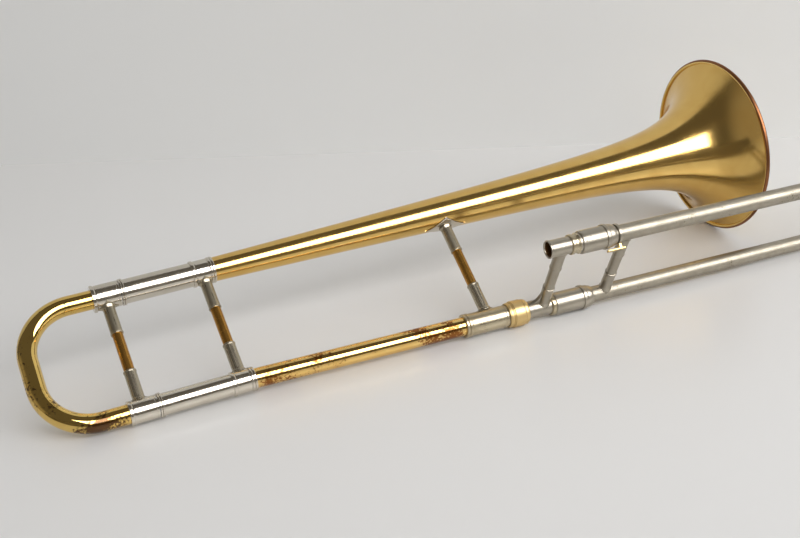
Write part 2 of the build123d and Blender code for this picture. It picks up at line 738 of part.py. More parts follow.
pieces = {
    # bell section
    "bell_branch": bell_branch,
    "spun_flare": spun_flare,
    "rim_wire": rim_wire,
    "bell_ferrule": bell_ferrule,
    "neck_ferrule": neck_ferrule,
    "upper_sleeve": upper_sleeve,
    "lower_sleeve": lower_sleeve,
    "upper_mouth_ring": upper_mouth_ring,
    "lower_mouth_ring": lower_mouth_ring,
    "neck_pipe": neck_pipe,
    "neck_receiver": neck_receiver,
    "sleeve_brace_sockets": group(sleeve_brace_foot, sleeve_brace_head),
    "sleeve_brace_tube": sleeve_brace_tube,
    "bell_brace_sockets": group(bell_brace_foot, bell_brace_head),
    "bell_brace_tube": bell_brace_tube,
    "bell_brace_saddle": bell_brace_saddle,
    "bell_plate": bell_plate,
    # tuning slide
    "crook": crook,
    "upper_leg": upper_leg,
    "lower_leg": lower_leg,
    "crook_upper_ferrule": crook_upper_ferrule,
    "crook_lower_ferrule": crook_lower_ferrule,
    "crook_brace_sockets": group(crook_brace_foot, crook_brace_head),
    "crook_brace_tube": crook_brace_tube,
    # lock nut
    "lock_nut": lock_nut,
    # inner slide
    "tenon": tenon,
    "mouthpiece_receiver": mouthpiece_receiver,
    "leadpipe": leadpipe,
    "upper_inner_tube": upper_inner_tube,
    "lower_inner_tube": lower_inner_tube,
    "upper_stocking": upper_stocking,
    "lower_stocking": lower_stocking,
    "upper_collar": upper_collar,
    "lower_collar": lower_collar,
    "upper_barrel": upper_barrel,
    "lower_barrel": lower_barrel,
    "upper_barrel_ring": upper_barrel_ring,
    "lower_barrel_ring": lower_barrel_ring,
    "corks": group(upper_cork, lower_cork),
    "inner_brace_sockets": group(inner_brace_foot, inner_brace_head),
    "inner_brace_tube": inner_brace_tube,
    "brace_gusset": brace_gusset,
    # outer slide
    "upper_outer_tube": upper_outer_tube,
    "lower_outer_tube": lower_outer_tube,
    "top_collars": group(upper_top_collar, lower_top_collar),
    "outer_brace_sockets": group(outer_brace_foot, outer_brace_head),
    "outer_brace_tube": outer_brace_tube,
    "slide_plates": group(lower_slide_plate, upper_slide_plate),
    "upper_bow_ferrule": upper_bow_ferrule,
    "lower_bow_ferrule": lower_bow_ferrule,
    "bow": bow,
    "bow_guard": bow_guard,
    "bumper_socket": bumper_socket,
    "bumper": bumper,
    "water_key_nipple": water_key_nipple,
    "water_key_saddle": water_key_saddle,
    "water_key_pin": water_key_pin,
    # slide lock
    "slide_lock": slide_lock,
    # water key
    "water_key_lever": water_key_lever,
    "water_key_pad": water_key_pad,
}

# The floor touches three circles: the bell's rim, the lock nut and the lower bow ferrule. The loop turns
# the floor's direction until one plane touches all three from below.
supports = [
    (on_line(bell_line, rim_centre[0]), along_bell, rim_centre[1], rim_radius),
    (on_line(neck_line, nut_start + nut_length / 2), along_slide, nut_radius, 0),
    (on_line(neck_line, bow_station - bow_ferrule_length + bead_length / 2), along_slide,
     outer_tube_radius + bow_ferrule_wall + ring_height / 2, 0),
]


def lowest(circle, down):
    """The lowest point of a circle, or of a round wire bent to that circle."""
    centre, axis, radius, wire = circle
    flat = (down - axis * axis.dot(down)).normalized()
    return centre + flat * radius + down * wire


down = Vector(0, -0.6, -0.8)
for turn in range(40):
    first, second, third = [lowest(circle, down) for circle in supports]
    normal = (second - first).cross(third - first).normalized()
    down = normal if normal.dot(down) > 0 else -normal
up = -down
laid = Plane(origin=first, x_dir=along_bell - up * up.dot(along_bell), z_dir=up)
resting = laid.location.inverse()
placed = {name: resting * piece.part for name, piece in pieces.items()}
box = Compound(list(placed.values())).bounding_box()
centred = Location((-(box.min.X + box.max.X) / 2, -(box.min.Y + box.max.Y) / 2, -box.min.Z))

os.makedirs("parts", exist_ok=True)
for name, piece in placed.items():
    part = centred * piece
    part.label = name
    export_step(part, f"parts/{name}.step")
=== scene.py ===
import json
import math

import bmesh
import bpy
from mathutils import Euler, Matrix, Vector


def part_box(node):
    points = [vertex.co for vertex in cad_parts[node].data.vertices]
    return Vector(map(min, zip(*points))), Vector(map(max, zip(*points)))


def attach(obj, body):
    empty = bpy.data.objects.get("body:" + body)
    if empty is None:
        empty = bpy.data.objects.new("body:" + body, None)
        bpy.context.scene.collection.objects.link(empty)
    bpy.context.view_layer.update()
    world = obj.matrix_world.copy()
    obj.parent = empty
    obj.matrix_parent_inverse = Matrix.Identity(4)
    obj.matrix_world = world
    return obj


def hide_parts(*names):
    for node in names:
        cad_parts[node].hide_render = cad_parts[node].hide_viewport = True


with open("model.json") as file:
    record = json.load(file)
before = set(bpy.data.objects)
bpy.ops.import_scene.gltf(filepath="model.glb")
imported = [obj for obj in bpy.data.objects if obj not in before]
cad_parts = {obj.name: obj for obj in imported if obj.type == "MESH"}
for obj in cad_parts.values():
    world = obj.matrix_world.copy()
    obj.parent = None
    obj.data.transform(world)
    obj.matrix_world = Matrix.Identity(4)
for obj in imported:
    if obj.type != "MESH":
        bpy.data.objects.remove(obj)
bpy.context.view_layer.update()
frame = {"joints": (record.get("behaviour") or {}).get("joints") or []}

# A tenor trombone lying on a pale table. Pieces are drawn in millimetres along the line of their own tube,
# with stations counted from the tuning crook's cross run, and then placed in metres.

# Lines of the four tubes, taken from the joints of the frame
joints = {joint["name"]: joint for joint in frame["joints"]}
stations = {"nut": 421.0, "lock": 503.1, "kink": 164.0, "mouth": 711.6}
alongBell = -Vector(joints["tuning_pull"]["axis"]).normalized()
alongSlide = Vector(joints["hand_slide"]["axis"]).normalized()
neckRoot = Vector(joints["nut_turn"]["pos_m"]) - alongSlide * stations["nut"] / 1000
slideRoot = Vector(joints["lock_turn"]["pos_m"]) - alongSlide * stations["lock"] / 1000
acrossSlide = (slideRoot - neckRoot).normalized()
slideFace = alongSlide.cross(acrossSlide)
slideSpacing = (slideRoot - neckRoot).length * 1000
lowerRoot = neckRoot + (alongSlide - alongBell) * stations["kink"] / 1000
wireLow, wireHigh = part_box("rim_wire")
towardsBell = (wireLow + wireHigh) / 2 - lowerRoot
towardsBell = (towardsBell - alongBell * towardsBell.dot(alongBell)).normalized()
bellOffset = 110.7
bellRoot = lowerRoot + towardsBell * bellOffset / 1000


# Where a drawing in millimetres goes: its Z runs along a tube and its X points to the side.
def drawingPlace(root, side, along):
    side = (side - along * side.dot(along)).normalized()
    place = Matrix((side, along.cross(side), along)).transposed().to_4x4()
    place.translation = root
    return place @ Matrix.Scale(0.001, 4)


bellLine = drawingPlace(bellRoot, -towardsBell, alongBell)
lowerLine = drawingPlace(lowerRoot, towardsBell, alongBell)
neckLine = drawingPlace(neckRoot, acrossSlide, alongSlide)
slideLine = drawingPlace(slideRoot, -acrossSlide, alongSlide)
tipLine = drawingPlace((neckRoot + slideRoot) / 2, acrossSlide, alongSlide)
bodyFlat = Matrix((alongBell, towardsBell, alongBell.cross(towardsBell))).transposed().to_4x4()
bodyFlat.translation = lowerRoot
bodyFlat = bodyFlat @ Matrix.Scale(0.001, 4)  # X is the station, Y runs from the neck to the bell
slideFlat = Matrix((alongSlide, acrossSlide, slideFace)).transposed().to_4x4()
slideFlat.translation = neckRoot
slideFlat = slideFlat @ Matrix.Scale(0.001, 4)  # X is the station, Y runs across the two slide tubes


# Mesh helpers
tubeSteps = 96


def closeUp(bm):
    bmesh.ops.remove_doubles(bm, verts=bm.verts, dist=0.0005)
    bmesh.ops.dissolve_degenerate(bm, dist=0.0004, edges=bm.edges)
    bmesh.ops.recalc_face_normals(bm, faces=bm.faces)


# A wire through (station, radius, rounding) corners; each rounding is turned into an arc.
def outlineLoop(bm, corners, closed=True):
    points = [bm.verts.new((corner[1], 0, corner[0])) for corner in corners]
    ends = points[1:] + points[:1] if closed else points[1:]
    for first, second in zip(points, ends):
        bm.edges.new((first, second))
    rounded = [(point, corner[2]) for point, corner in zip(points, corners) if len(corner) > 2]
    for point, rounding in rounded:
        bmesh.ops.bevel(bm, geom=[point], offset=rounding, offset_type="OFFSET", segments=4, profile=0.5,
                        affect="VERTICES", clamp_overlap=True, material=-1)


def spinRound(bm, steps=tubeSteps):
    bmesh.ops.spin(bm, geom=list(bm.verts) + list(bm.edges), cent=(0, 0, 0), axis=(0, 0, 1), dvec=(0, 0, 0),
                   angle=math.tau, steps=steps, use_merge=True, use_duplicate=False)
    closeUp(bm)


def turned(corners, steps=tubeSteps):
    bm = bmesh.new()
    outlineLoop(bm, corners)
    spinRound(bm, steps)
    return bm


def pipe(start, end, outer, inner, rounding=0.15):
    return turned([(start, outer, rounding), (end, outer, rounding), (end, inner, rounding),
                   (start, inner, rounding)])


# One bmesh from several.
def joined(*parts):
    whole = bmesh.new()
    for part in parts:
        mesh = bpy.data.meshes.new("joining")
        part.to_mesh(mesh)
        part.free()
        whole.from_mesh(mesh)
        bpy.data.meshes.remove(mesh)
    return whole


def moved(bm, place):
    bmesh.ops.transform(bm, matrix=place, verts=bm.verts)
    return bm


# A box of a size in millimetres with rounded edges.
def block(size, place=Matrix.Identity(4), edge=0.4, segments=3):
    bm = bmesh.new()
    bmesh.ops.create_cube(bm, size=1.0, matrix=Matrix.Diagonal((*size, 1)))
    bmesh.ops.bevel(bm, geom=list(bm.edges), offset=edge, offset_type="OFFSET", segments=segments,
                    profile=0.5, affect="EDGES", clamp_overlap=True, material=-1)
    return moved(bm, place)


# Makes a Blender object of a drawing, with its place in its mesh, and ties it to the frame.
def finishPiece(name, bm, place, body, materials, nodes, sharpAngle=42.0, weighted=True):
    drawn = bm.verts.layers.float_vector.new("drawnAt")
    for vert in bm.verts:
        vert[drawn] = vert.co
    for edge in bm.edges:
        edge.smooth = len(edge.link_faces) != 2 or edge.calc_face_angle(0) < math.radians(sharpAngle)
    for face in bm.faces:
        face.smooth = True
    bmesh.ops.transform(bm, matrix=place, verts=bm.verts)
    mesh = bpy.data.meshes.new(name)
    bm.to_mesh(mesh)
    bm.free()
    piece = bpy.data.objects.new(name, mesh)
    bpy.context.scene.collection.objects.link(piece)
    for material in materials:
        mesh.materials.append(material)
    if weighted:
        even = piece.modifiers.new("evenShading", "WEIGHTED_NORMAL")
        even.keep_sharp = True
    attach(piece, body)
    if nodes:
        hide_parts(*nodes)
    return piece


# Materials
# Turns an sRGB hex into linear colour.
def hexColour(text):
    channels = [int(text[i:i + 2], 16) / 255 for i in (1, 3, 5)]
    return [c / 12.92 if c <= 0.04045 else ((c + 0.055) / 1.055) ** 2.4 for c in channels] + [1.0]


# Adds a node: settings are its properties, values its sockets, links the sockets that feed it.
def addNode(tree, kind, settings=None, values=None, links=None):
    made = tree.nodes.new(kind)
    for key, value in (settings or {}).items():
        setattr(made, key, value)
    for key, value in (values or {}).items():
        made.inputs[key].default_value = value
    for key, source in (links or {}).items():
        tree.links.new(source, made.inputs[key])
    return made


def newMaterial(name):
    material = bpy.data.materials.new(name)
    material.use_nodes = True
    tree = material.node_tree
    tree.nodes.clear()
    shader = addNode(tree, "ShaderNodeBsdfPrincipled")
    output = addNode(tree, "ShaderNodeOutputMaterial")
    tree.links.new(shader.outputs["BSDF"], output.inputs["Surface"])
    return material, tree, shader


# A metal with lengthwise drawing lines, smudges and stained spots. Sizes are in millimetres.
def metal(name, base, stain, settings):
    material, tree, shader = newMaterial(name)
    drawn = addNode(tree, "ShaderNodeAttribute", {"attribute_name": "drawnAt"}).outputs["Vector"]
    lines = addNode(tree, "ShaderNodeMapping", values={"Scale": settings["lineStretch"]},
                    links={"Vector": drawn})
    lineNoise = addNode(tree, "ShaderNodeTexNoise",
                        values={"Scale": 1 / settings["lineWidth"], "Detail": 3.0},
                        links={"Vector": lines.outputs["Vector"]})
    smudge = addNode(tree, "ShaderNodeTexNoise", values={"Scale": 1 / settings["smudgeSize"], "Detail": 4.0,
                     "Distortion": 0.6}, links={"Vector": drawn})
    spots = addNode(tree, "ShaderNodeTexNoise", values={"Scale": 1 / settings["spotSize"], "Detail": 6.0,
                    "Roughness": 0.62}, links={"Vector": drawn})
    patches = addNode(tree, "ShaderNodeTexNoise", values={"Scale": 1 / settings["patchSize"], "Detail": 2.0},
                      links={"Vector": drawn})
    both = addNode(tree, "ShaderNodeMath", {"operation": "MULTIPLY_ADD"}, {1: settings["patchShare"]},
                   {0: patches.outputs["Fac"], 2: spots.outputs["Fac"]})
    if "wear" in settings:  # stretches of the tube that have lost their lacquer
        axes = addNode(tree, "ShaderNodeSeparateXYZ", links={"Vector": drawn}).outputs
        for axis, start, end, amount in settings["wear"]:
            middle, half = (start + end) / 2, (end - start) / 2
            away = addNode(tree, "ShaderNodeMath", {"operation": "SUBTRACT"}, {1: middle}, {0: axes[axis]})
            away = addNode(tree, "ShaderNodeMath", {"operation": "ABSOLUTE"}, links={0: away.outputs[0]})
            near = addNode(tree, "ShaderNodeMapRange", {"interpolation_type": "SMOOTHSTEP"},
                           {"From Min": half * 1.5, "From Max": half * 0.4, "To Max": amount},
                           {"Value": away.outputs[0]})
            both = addNode(tree, "ShaderNodeMath", {"operation": "ADD"},
                           links={0: both.outputs[0], 1: near.outputs["Result"]})
    stained = addNode(tree, "ShaderNodeMapRange", {"interpolation_type": "SMOOTHSTEP"},
                      {"From Min": settings["stainFrom"],
                       "From Max": settings["stainFrom"] + settings["stainSoft"]},
                      {"Value": both.outputs[0]})
    tone = addNode(tree, "ShaderNodeMix", {"data_type": "RGBA"}, {"A": hexColour(base), "B": hexColour(
        settings["tone"])}, {"Factor": smudge.outputs["Fac"]})
    colour = addNode(tree, "ShaderNodeMix", {"data_type": "RGBA"}, {"B": hexColour(stain)},
                     {"Factor": stained.outputs["Result"]})
    tree.links.new(tone.outputs["Result"], colour.inputs["A"])
    tree.links.new(colour.outputs["Result"], shader.inputs["Base Color"])
    low, high = settings["roughness"]
    grain = addNode(tree, "ShaderNodeMath", {"operation": "MULTIPLY_ADD"}, {1: settings["lineShare"]},
                    {0: lineNoise.outputs["Fac"], 2: smudge.outputs["Fac"]})
    rough = addNode(tree, "ShaderNodeMapRange",
                    values={"From Min": 0.35, "From Max": 0.7 + settings["lineShare"] / 2,
                    "To Min": low, "To Max": high}, links={"Value": grain.outputs[0]})
    dulled = addNode(tree, "ShaderNodeMath", {"operation": "MULTIPLY_ADD"}, {1: settings["stainRoughness"]},
                     {0: stained.outputs["Result"], 2: rough.outputs["Result"]})
    tree.links.new(dulled.outputs[0], shader.inputs["Roughness"])
    bump = addNode(tree, "ShaderNodeBump", values={"Strength": settings["bump"], "Distance": 0.0002},
                   links={"Height": grain.outputs[0]})
    tree.links.new(bump.outputs["Normal"], shader.inputs["Normal"])
    shader.inputs["Metallic"].default_value = 1.0
    shader.inputs["Coat Weight"].default_value = settings.get("coat", 0.0)
    shader.inputs["Coat Roughness"].default_value = 0.04
    return material


lengthwise = (1.0, 1.0, 0.03)
aroundTube = (0.05, 0.05, 1.0)
plainMetal = {"lineStretch": lengthwise, "lineWidth": 0.9, "smudgeSize": 22.0, "spotSize": 2.2,
              "patchSize": 26.0, "patchShare": 0.9, "stainFrom": 1.35, "stainSoft": 0.14, "lineShare": 0.3,
              "stainRoughness": 0.2, "roughness": (0.01, 0.03), "bump": 0.012}

# Yellow brass tube, polished and lacquered: a clear gold mirror, freckled brown where lacquer is lost
lacqueredBrass = metal("lacqueredYellowBrass", "#f6d98c", "#6d4a1e", {
    **plainMetal, "tone": "#ebc564", "coat": 0.6, "stainFrom": 1.15,
    "wear": [("Z", 228, 262, 0.14), ("Z", 300, 372, 0.17), ("Z", 395, 440, 0.16)]})
# The crook is the same brass, with more freckles on its outside and towards the table
crookBrass = metal("lacqueredYellowBrassCrook", "#efd07c", "#5c3d19", {
    **plainMetal, "tone": "#d8ae50", "coat": 0.5, "stainFrom": 1.09, "smudgeSize": 34.0,
    "wear": [("X", -14, -2, 0.16), ("Y", -16, -2, 0.24)]})
# The neck pipe's lacquer is worn away in three stretches and the brass has gone brown there
neckBrass = metal("wornLacqueredBrass", "#eacb82", "#85501d", {
    **plainMetal, "tone": "#d8ac5c", "coat": 0.25, "stainFrom": 1.14,
    "wear": [("Z", 172, 212, 0.3), ("Z", 312, 368, 0.3), ("Z", 225, 250, 0.12)]})
# Brace tubes are handled bare: orange brown with dark stains
wornBrass = metal("handledBrass", "#c99a4e", "#6b4420", {
    **plainMetal, "tone": "#a1702f", "stainFrom": 1.08, "stainSoft": 0.3, "roughness": (0.16, 0.3),
    "bump": 0.1})
# Spun flare inside: unlacquered, with faint rings from the spinning lathe
spunBrass = metal("spunBrassInside", "#e6c479", "#8a5c28", {
    **plainMetal, "tone": "#d4aa5c", "lineStretch": aroundTube, "roughness": (0.1, 0.2), "bump": 0.06})
# The rolled rim has lost its lacquer and shows copper red
rimBrass = metal("wornRimBrass", "#946543", "#503020", {
    **plainMetal, "tone": "#6f452d", "stainFrom": 1.1, "stainSoft": 0.25, "roughness": (0.26, 0.42),
    "patchSize": 40.0, "bump": 0.1})
# Turned brass, left bare: fine rings and a dull yellow sheen
turnedBrass = metal("turnedBareBrass", "#d9c08c", "#8f7038", {
    **plainMetal, "tone": "#c6a970", "lineStretch": aroundTube, "lineWidth": 0.5, "lineShare": 0.8,
    "roughness": (0.3, 0.46), "bump": 0.3})
# Nickel silver (copper, nickel and zinc), polished: a slightly warm white mirror with wiping marks
nickelSilver = metal("polishedNickelSilver", "#dcd6ca", "#7d6e58", {
    **plainMetal, "tone": "#c6bdad", "stainFrom": 1.16, "stainSoft": 0.2, "roughness": (0.1, 0.2),
    "bump": 0.04})
# The receiver has gone warm and yellowish with handling
tarnishedNickel = metal("tarnishedNickelSilver", "#c6bca4", "#7d6a4a", {
    **plainMetal, "tone": "#ab9b7c", "stainFrom": 1.12, "roughness": (0.2, 0.36), "bump": 0.1})
# Brace sockets are rubbed by the hand: a soft mid grey with lengthwise lines
handledNickel = metal("handledNickelSilver", "#bdb4a3", "#6b5f4b", {
    **plainMetal, "tone": "#a0977f", "lineWidth": 0.6, "lineShare": 0.8, "stainFrom": 1.14,
    "roughness": (0.2, 0.32), "bump": 0.15})
# Nickel silver rubbed satin, on barrels and braces: fine lengthwise scratches and a warm grey sheen
satinNickel = metal("satinNickelSilver", "#b2ab9d", "#6f634f", {
    **plainMetal, "tone": "#999182", "lineWidth": 0.7, "lineShare": 0.9, "stainFrom": 1.18,
    "roughness": (0.24, 0.38), "bump": 0.2})
# The long outer tubes are duller, with the plating scratched along them and dark spots
drawnNickel = metal("drawnNickelSilverTube", "#aca596", "#57492f", {
    **plainMetal, "tone": "#8f8778", "lineWidth": 0.6, "lineShare": 1.2, "stainFrom": 1.12, "stainSoft": 0.2,
    "smudgeSize": 9.0, "roughness": (0.3, 0.5), "bump": 0.5})
# Old bare brass inside the mouthpiece tube, brown from breath
brownBore = metal("brownedBrassBore", "#a57c4c", "#4c3520", {
    **plainMetal, "tone": "#86613a", "stainFrom": 1.0, "stainSoft": 0.3, "roughness": (0.4, 0.55),
    "bump": 0.1})
# Hard chrome on drawn tube: cold, clear mirror
hardChrome = metal("hardChrome", "#dfe2e6", "#b9bcc0", {**plainMetal, "tone": "#d3d6da",
                   "roughness": (0.04, 0.08), "bump": 0.02})
springSteel = metal("springSteel", "#a9abb0", "#6b6a68", {**plainMetal, "tone": "#96989c",
                    "roughness": (0.18, 0.3), "bump": 0.1})


# Cork or rubber: a grain of two tones with a matching bump.
def softMaterial(name, base, other, grainSize, roughness, bumpStrength):
    material, tree, shader = newMaterial(name)
    drawn = addNode(tree, "ShaderNodeAttribute", {"attribute_name": "drawnAt"}).outputs["Vector"]
    grain = addNode(tree, "ShaderNodeTexVoronoi", values={"Scale": 1 / grainSize}, links={"Vector": drawn})
    fine = addNode(tree, "ShaderNodeTexNoise", values={"Scale": 2.5 / grainSize, "Detail": 5.0},
                   links={"Vector": drawn})
    mixed = addNode(tree, "ShaderNodeMath", {"operation": "MULTIPLY"},
                    links={0: grain.outputs["Distance"], 1: fine.outputs["Fac"]})
    colour = addNode(tree, "ShaderNodeMix", {"data_type": "RGBA"},
                     {"A": hexColour(base), "B": hexColour(other)}, {"Factor": mixed.outputs[0]})
    tree.links.new(colour.outputs["Result"], shader.inputs["Base Color"])
    bump = addNode(tree, "ShaderNodeBump", values={"Strength": bumpStrength, "Distance": 0.0002},
                   links={"Height": mixed.outputs[0]})
    tree.links.new(bump.outputs["Normal"], shader.inputs["Normal"])
    shader.inputs["Roughness"].default_value = roughness
    return material


pressedCork = softMaterial("pressedCork", "#a5784a", "#5f3f22", 1.1, 0.85, 0.5)  # granules in a binder
blackRubber = softMaterial("blackRubber", "#141414", "#2a2927", 0.8, 0.62, 0.25)  # moulded, slightly dusty
print("materials made")

# Bell: stem and flare in one skin, with a rolled rim
bellShape = {"start": 164.0, "mouth": 711.6, "rootRadius": 10.3, "taper": 0.0193, "flareHeight": 66.1,
             "flareReach": 80.5, "flarePower": 2.59, "wall": 0.5, "rimRadius": 2.2, "rings": 84, "steps": 144,
             "rimArc": 335.0, "rimSteps": 22, "wornFrom": 0.1, "crowding": 1.7, "lastRing": 0.8}


def bellRadius(station):
    flare = bellShape["flareReach"] / (bellShape["flareReach"] + bellShape["mouth"] - station)
    stem = bellShape["rootRadius"] + bellShape["taper"] * (station - bellShape["start"])
    return stem + bellShape["flareHeight"] * flare ** bellShape["flarePower"]


def bellSlope(station):
    reach = bellShape["flareReach"] + bellShape["mouth"] - station
    flare = bellShape["flareHeight"] * (bellShape["flareReach"] / reach) ** bellShape["flarePower"]
    return bellShape["taper"] + flare * bellShape["flarePower"] / reach


def makeBell():
    shape = bellShape
    bm = bmesh.new()
    rimCentre = bellRadius(shape["mouth"]) - shape["wall"] / 2
    skins = []
    for depth in (0.0, shape["wall"]):
        last = shape["mouth"] - shape["lastRing"]
        skin = []
        for ring in range(shape["rings"] + 1):
            station = last - (last - shape["start"]) * (1 - ring / shape["rings"]) ** shape["crowding"]
            slope = bellSlope(station)
            length = math.hypot(1, slope)
            skin.append(bm.verts.new((bellRadius(station) - depth / length, 0,
                                      station + depth * slope / length)))
        for first, second in zip(skin, skin[1:]):
            bm.edges.new((first, second))
        skins.append(skin)
    bm.edges.new((skins[0][0], skins[1][0]))
    centre = Vector((rimCentre, 0, shape["mouth"]))
    start = skins[0][-1].co - centre
    edge = bm.verts.new(centre + start.normalized() * shape["rimRadius"])
    bm.edges.new((skins[0][-1], edge))
    arc = bmesh.ops.spin(bm, geom=[edge], cent=centre, axis=(0, 1, 0), dvec=(0, 0, 0),
                         angle=math.radians(shape["rimArc"]), steps=shape["rimSteps"], use_merge=False,
                         use_duplicate=False)
    final = [part for part in arc["geom_last"] if isinstance(part, bmesh.types.BMVert)][0]
    bm.edges.new((final, skins[1][-1]))
    spinRound(bm, shape["steps"])
    for face in bm.faces:
        middle = face.calc_center_median()
        radius = math.hypot(middle.x, middle.y)
        outwards = face.normal.x * middle.x + face.normal.y * middle.y
        if (math.hypot(radius - rimCentre, middle.z - shape["mouth"]) < shape["rimRadius"] * 1.1
                and radius > rimCentre + shape["rimRadius"] * shape["wornFrom"]):
            face.material_index = 2
        elif outwards < 0:
            face.material_index = 1
    return bm


finishPiece("bell", makeBell(), bellLine, "bell_section",
            [lacqueredBrass, spunBrass, rimBrass], ["bell_branch", "spun_flare", "rim_wire"], weighted=False)
print("bell made")

# Ferrules and sleeves of the tuning slide
ferruleShape = {"crookStart": 63.5, "crookEnd": 87.5, "seam": 68.0, "mouth": 88.0, "mouthEnd": 91.5,
                "sleeveEnd": 164.0, "bodyStart": 151.0, "bodyEnd": 171.5, "legEnd": 158.0, "wall": 0.5,
                "beadTop": 1.15, "beadLength": 3.0, "round": 0.9}
upperTube = {"line": bellLine, "sleeve": 10.7, "leg": 10.14}
lowerTube = {"line": lowerLine, "sleeve": 9.4, "leg": 8.84}


# Corners of a half-round ring: base at each side and a rounded top.
def beadCorners(start, end, base, top, rounding):
    return [(start, base), (start, top, rounding), (end, top, rounding), (end, base)]


def crookFerrule(radius, crookBore, legRadius):
    shape = ferruleShape
    body = radius + shape["wall"]
    start, end = shape["crookStart"], shape["crookEnd"]
    corners = beadCorners(start, start + shape["beadLength"], body, radius + shape["beadTop"], 1.1)
    groove = start + shape["beadLength"]
    corners += [(groove + 0.6, body - 0.3, 0.2), (groove + 1.2, body, 0.15), (end - 2.2, body, 0.15),
                (end - 1.9, body - 0.25, 0.1), (end - 1.6, body, 0.15), (end, body, 0.35)]
    return turned(corners + [(end, legRadius), (shape["seam"], legRadius), (shape["seam"], crookBore),
                             (start, crookBore)])


def bodyFerrule(radius, endBore):
    shape = ferruleShape
    body, top = radius + shape["wall"], radius + shape["beadTop"]
    start, end = shape["bodyStart"], shape["bodyEnd"]
    half = shape["beadLength"] * 0.75
    corners = beadCorners(start, start + shape["beadLength"], body, top, 1.1)
    corners += [(start + 3.5, body - 0.3, 0.2), (start + 4.1, body, 0.15), (end - 2 * half - 0.9, body, 0.15),
                (end - 2 * half - 0.45, body - 0.3, 0.2)]
    corners += beadCorners(end - 2 * half, end - half, body - 0.1, top, 0.85)
    corners += beadCorners(end - half + 0.02, end, body - 0.1, top, 0.85)
    return turned(corners + [(end, endBore), (shape["sleeveEnd"], endBore), (shape["sleeveEnd"], radius),
                             (start, radius)])


def mouthRing(radius):
    shape = ferruleShape
    middle, top = (shape["mouth"] + shape["mouthEnd"]) / 2, radius + shape["beadTop"]
    corners = beadCorners(shape["mouth"], middle - 0.02, radius + 0.3, top, 0.7)
    corners += beadCorners(middle + 0.02, shape["mouthEnd"], radius + 0.3, top, 0.7)
    return turned(corners + [(shape["mouthEnd"], radius), (shape["mouth"], radius)])


for side, tube, endBore in (("upper", upperTube, 10.46), ("lower", lowerTube, 8.3)):
    line, radius = tube["line"], tube["sleeve"]
    bore = radius - ferruleShape["wall"]
    finishPiece(side + "_sleeve_tube",
                pipe(ferruleShape["mouth"] + 0.05, ferruleShape["sleeveEnd"], radius, bore), line,
                "bell_section", [nickelSilver], [side + "_sleeve"])
    finishPiece(side + "_mouth_beads", mouthRing(radius), line, "bell_section",
                [nickelSilver], [side + "_mouth_ring"])
    finishPiece(side + "_crook_ferrule", crookFerrule(radius, 8.4, tube["leg"]), line, "tuning_slide",
                [nickelSilver], ["crook_" + side + "_ferrule"])
    finishPiece(side + "_tuning_leg", pipe(ferruleShape["seam"], ferruleShape["legEnd"], tube["leg"],
                tube["leg"] - 0.45), line, "tuning_slide", [hardChrome], [side + "_leg"])
    finishPiece("bell_root_ferrule" if side == "upper" else "neck_root_ferrule",
                bodyFerrule(radius, endBore), line, "bell_section", [nickelSilver],
                ["bell_ferrule" if side == "upper" else "neck_ferrule"])
print("tuning slide sleeves made")

# Tuning crook: a tube bent through two quarter turns with a short cross run between them
crookShape = {"radius": 8.4, "wall": 0.5, "bend": 43.0, "end": 68.0, "sides": 72, "bendSteps": 40}


# A ring of points across a tube, as its edges.
def ringAt(bm, radius, sides, place):
    made = bmesh.ops.create_circle(bm, cap_ends=False, segments=sides, radius=radius, matrix=place)
    return list({edge for vert in made["verts"] for edge in vert.link_edges})


def pushRing(bm, edges, offset):
    made = bmesh.ops.extrude_edge_only(bm, edges=edges)["geom"]
    bmesh.ops.translate(bm, vec=offset, verts=[part for part in made if isinstance(part, bmesh.types.BMVert)])
    return [part for part in made if isinstance(part, bmesh.types.BMEdge)]


def bendRing(bm, edges, centre, angle, steps):
    made = bmesh.ops.spin(bm, geom=edges, cent=centre, axis=(0, 0, 1), dvec=(0, 0, 0), angle=angle,
                          steps=steps, use_merge=False, use_duplicate=False)["geom_last"]
    return [part for part in made if isinstance(part, bmesh.types.BMEdge)]


# Gives an open skin its wall, inwards.
def thicken(bm, wall):
    closeUp(bm)
    bmesh.ops.solidify(bm, geom=list(bm.faces), thickness=wall)
    bmesh.ops.recalc_face_normals(bm, faces=bm.faces)
    return bm


def makeCrook():
    shape = crookShape
    bm = bmesh.new()
    facing = Matrix.Translation((shape["end"], bellOffset, 0)) @ Matrix.Rotation(math.pi / 2, 4, "Y")
    ring = ringAt(bm, shape["radius"], shape["sides"], facing)
    ring = pushRing(bm, ring, (shape["bend"] - shape["end"], 0, 0))
    ring = bendRing(bm, ring, (shape["bend"], bellOffset - shape["bend"], 0), math.pi / 2, shape["bendSteps"])
    ring = pushRing(bm, ring, (0, 2 * shape["bend"] - bellOffset, 0))
    ring = bendRing(bm, ring, (shape["bend"], shape["bend"], 0), math.pi / 2, shape["bendSteps"])
    pushRing(bm, ring, (shape["end"] - shape["bend"], 0, 0))
    return thicken(bm, shape["wall"])


finishPiece("tuning_crook", makeCrook(), bodyFlat, "tuning_slide", [crookBrass], ["crook"],
            weighted=False)

# Neck pipe, receiver with its thread, and the lock nut
neckShape = {"radius": 8.65, "wall": 0.5, "end": 389.5}
finishPiece("neck_tube", pipe(stations["kink"], neckShape["end"], neckShape["radius"],
            neckShape["radius"] - neckShape["wall"]), neckLine, "bell_section",
            [neckBrass], ["neck_pipe"])

receiverShape = {"start": 367.5, "radius": 10.26, "step": 410.0, "threadRadius": 9.5, "end": 421.0,
                 "bore": 8.25, "pitch": 1.4}


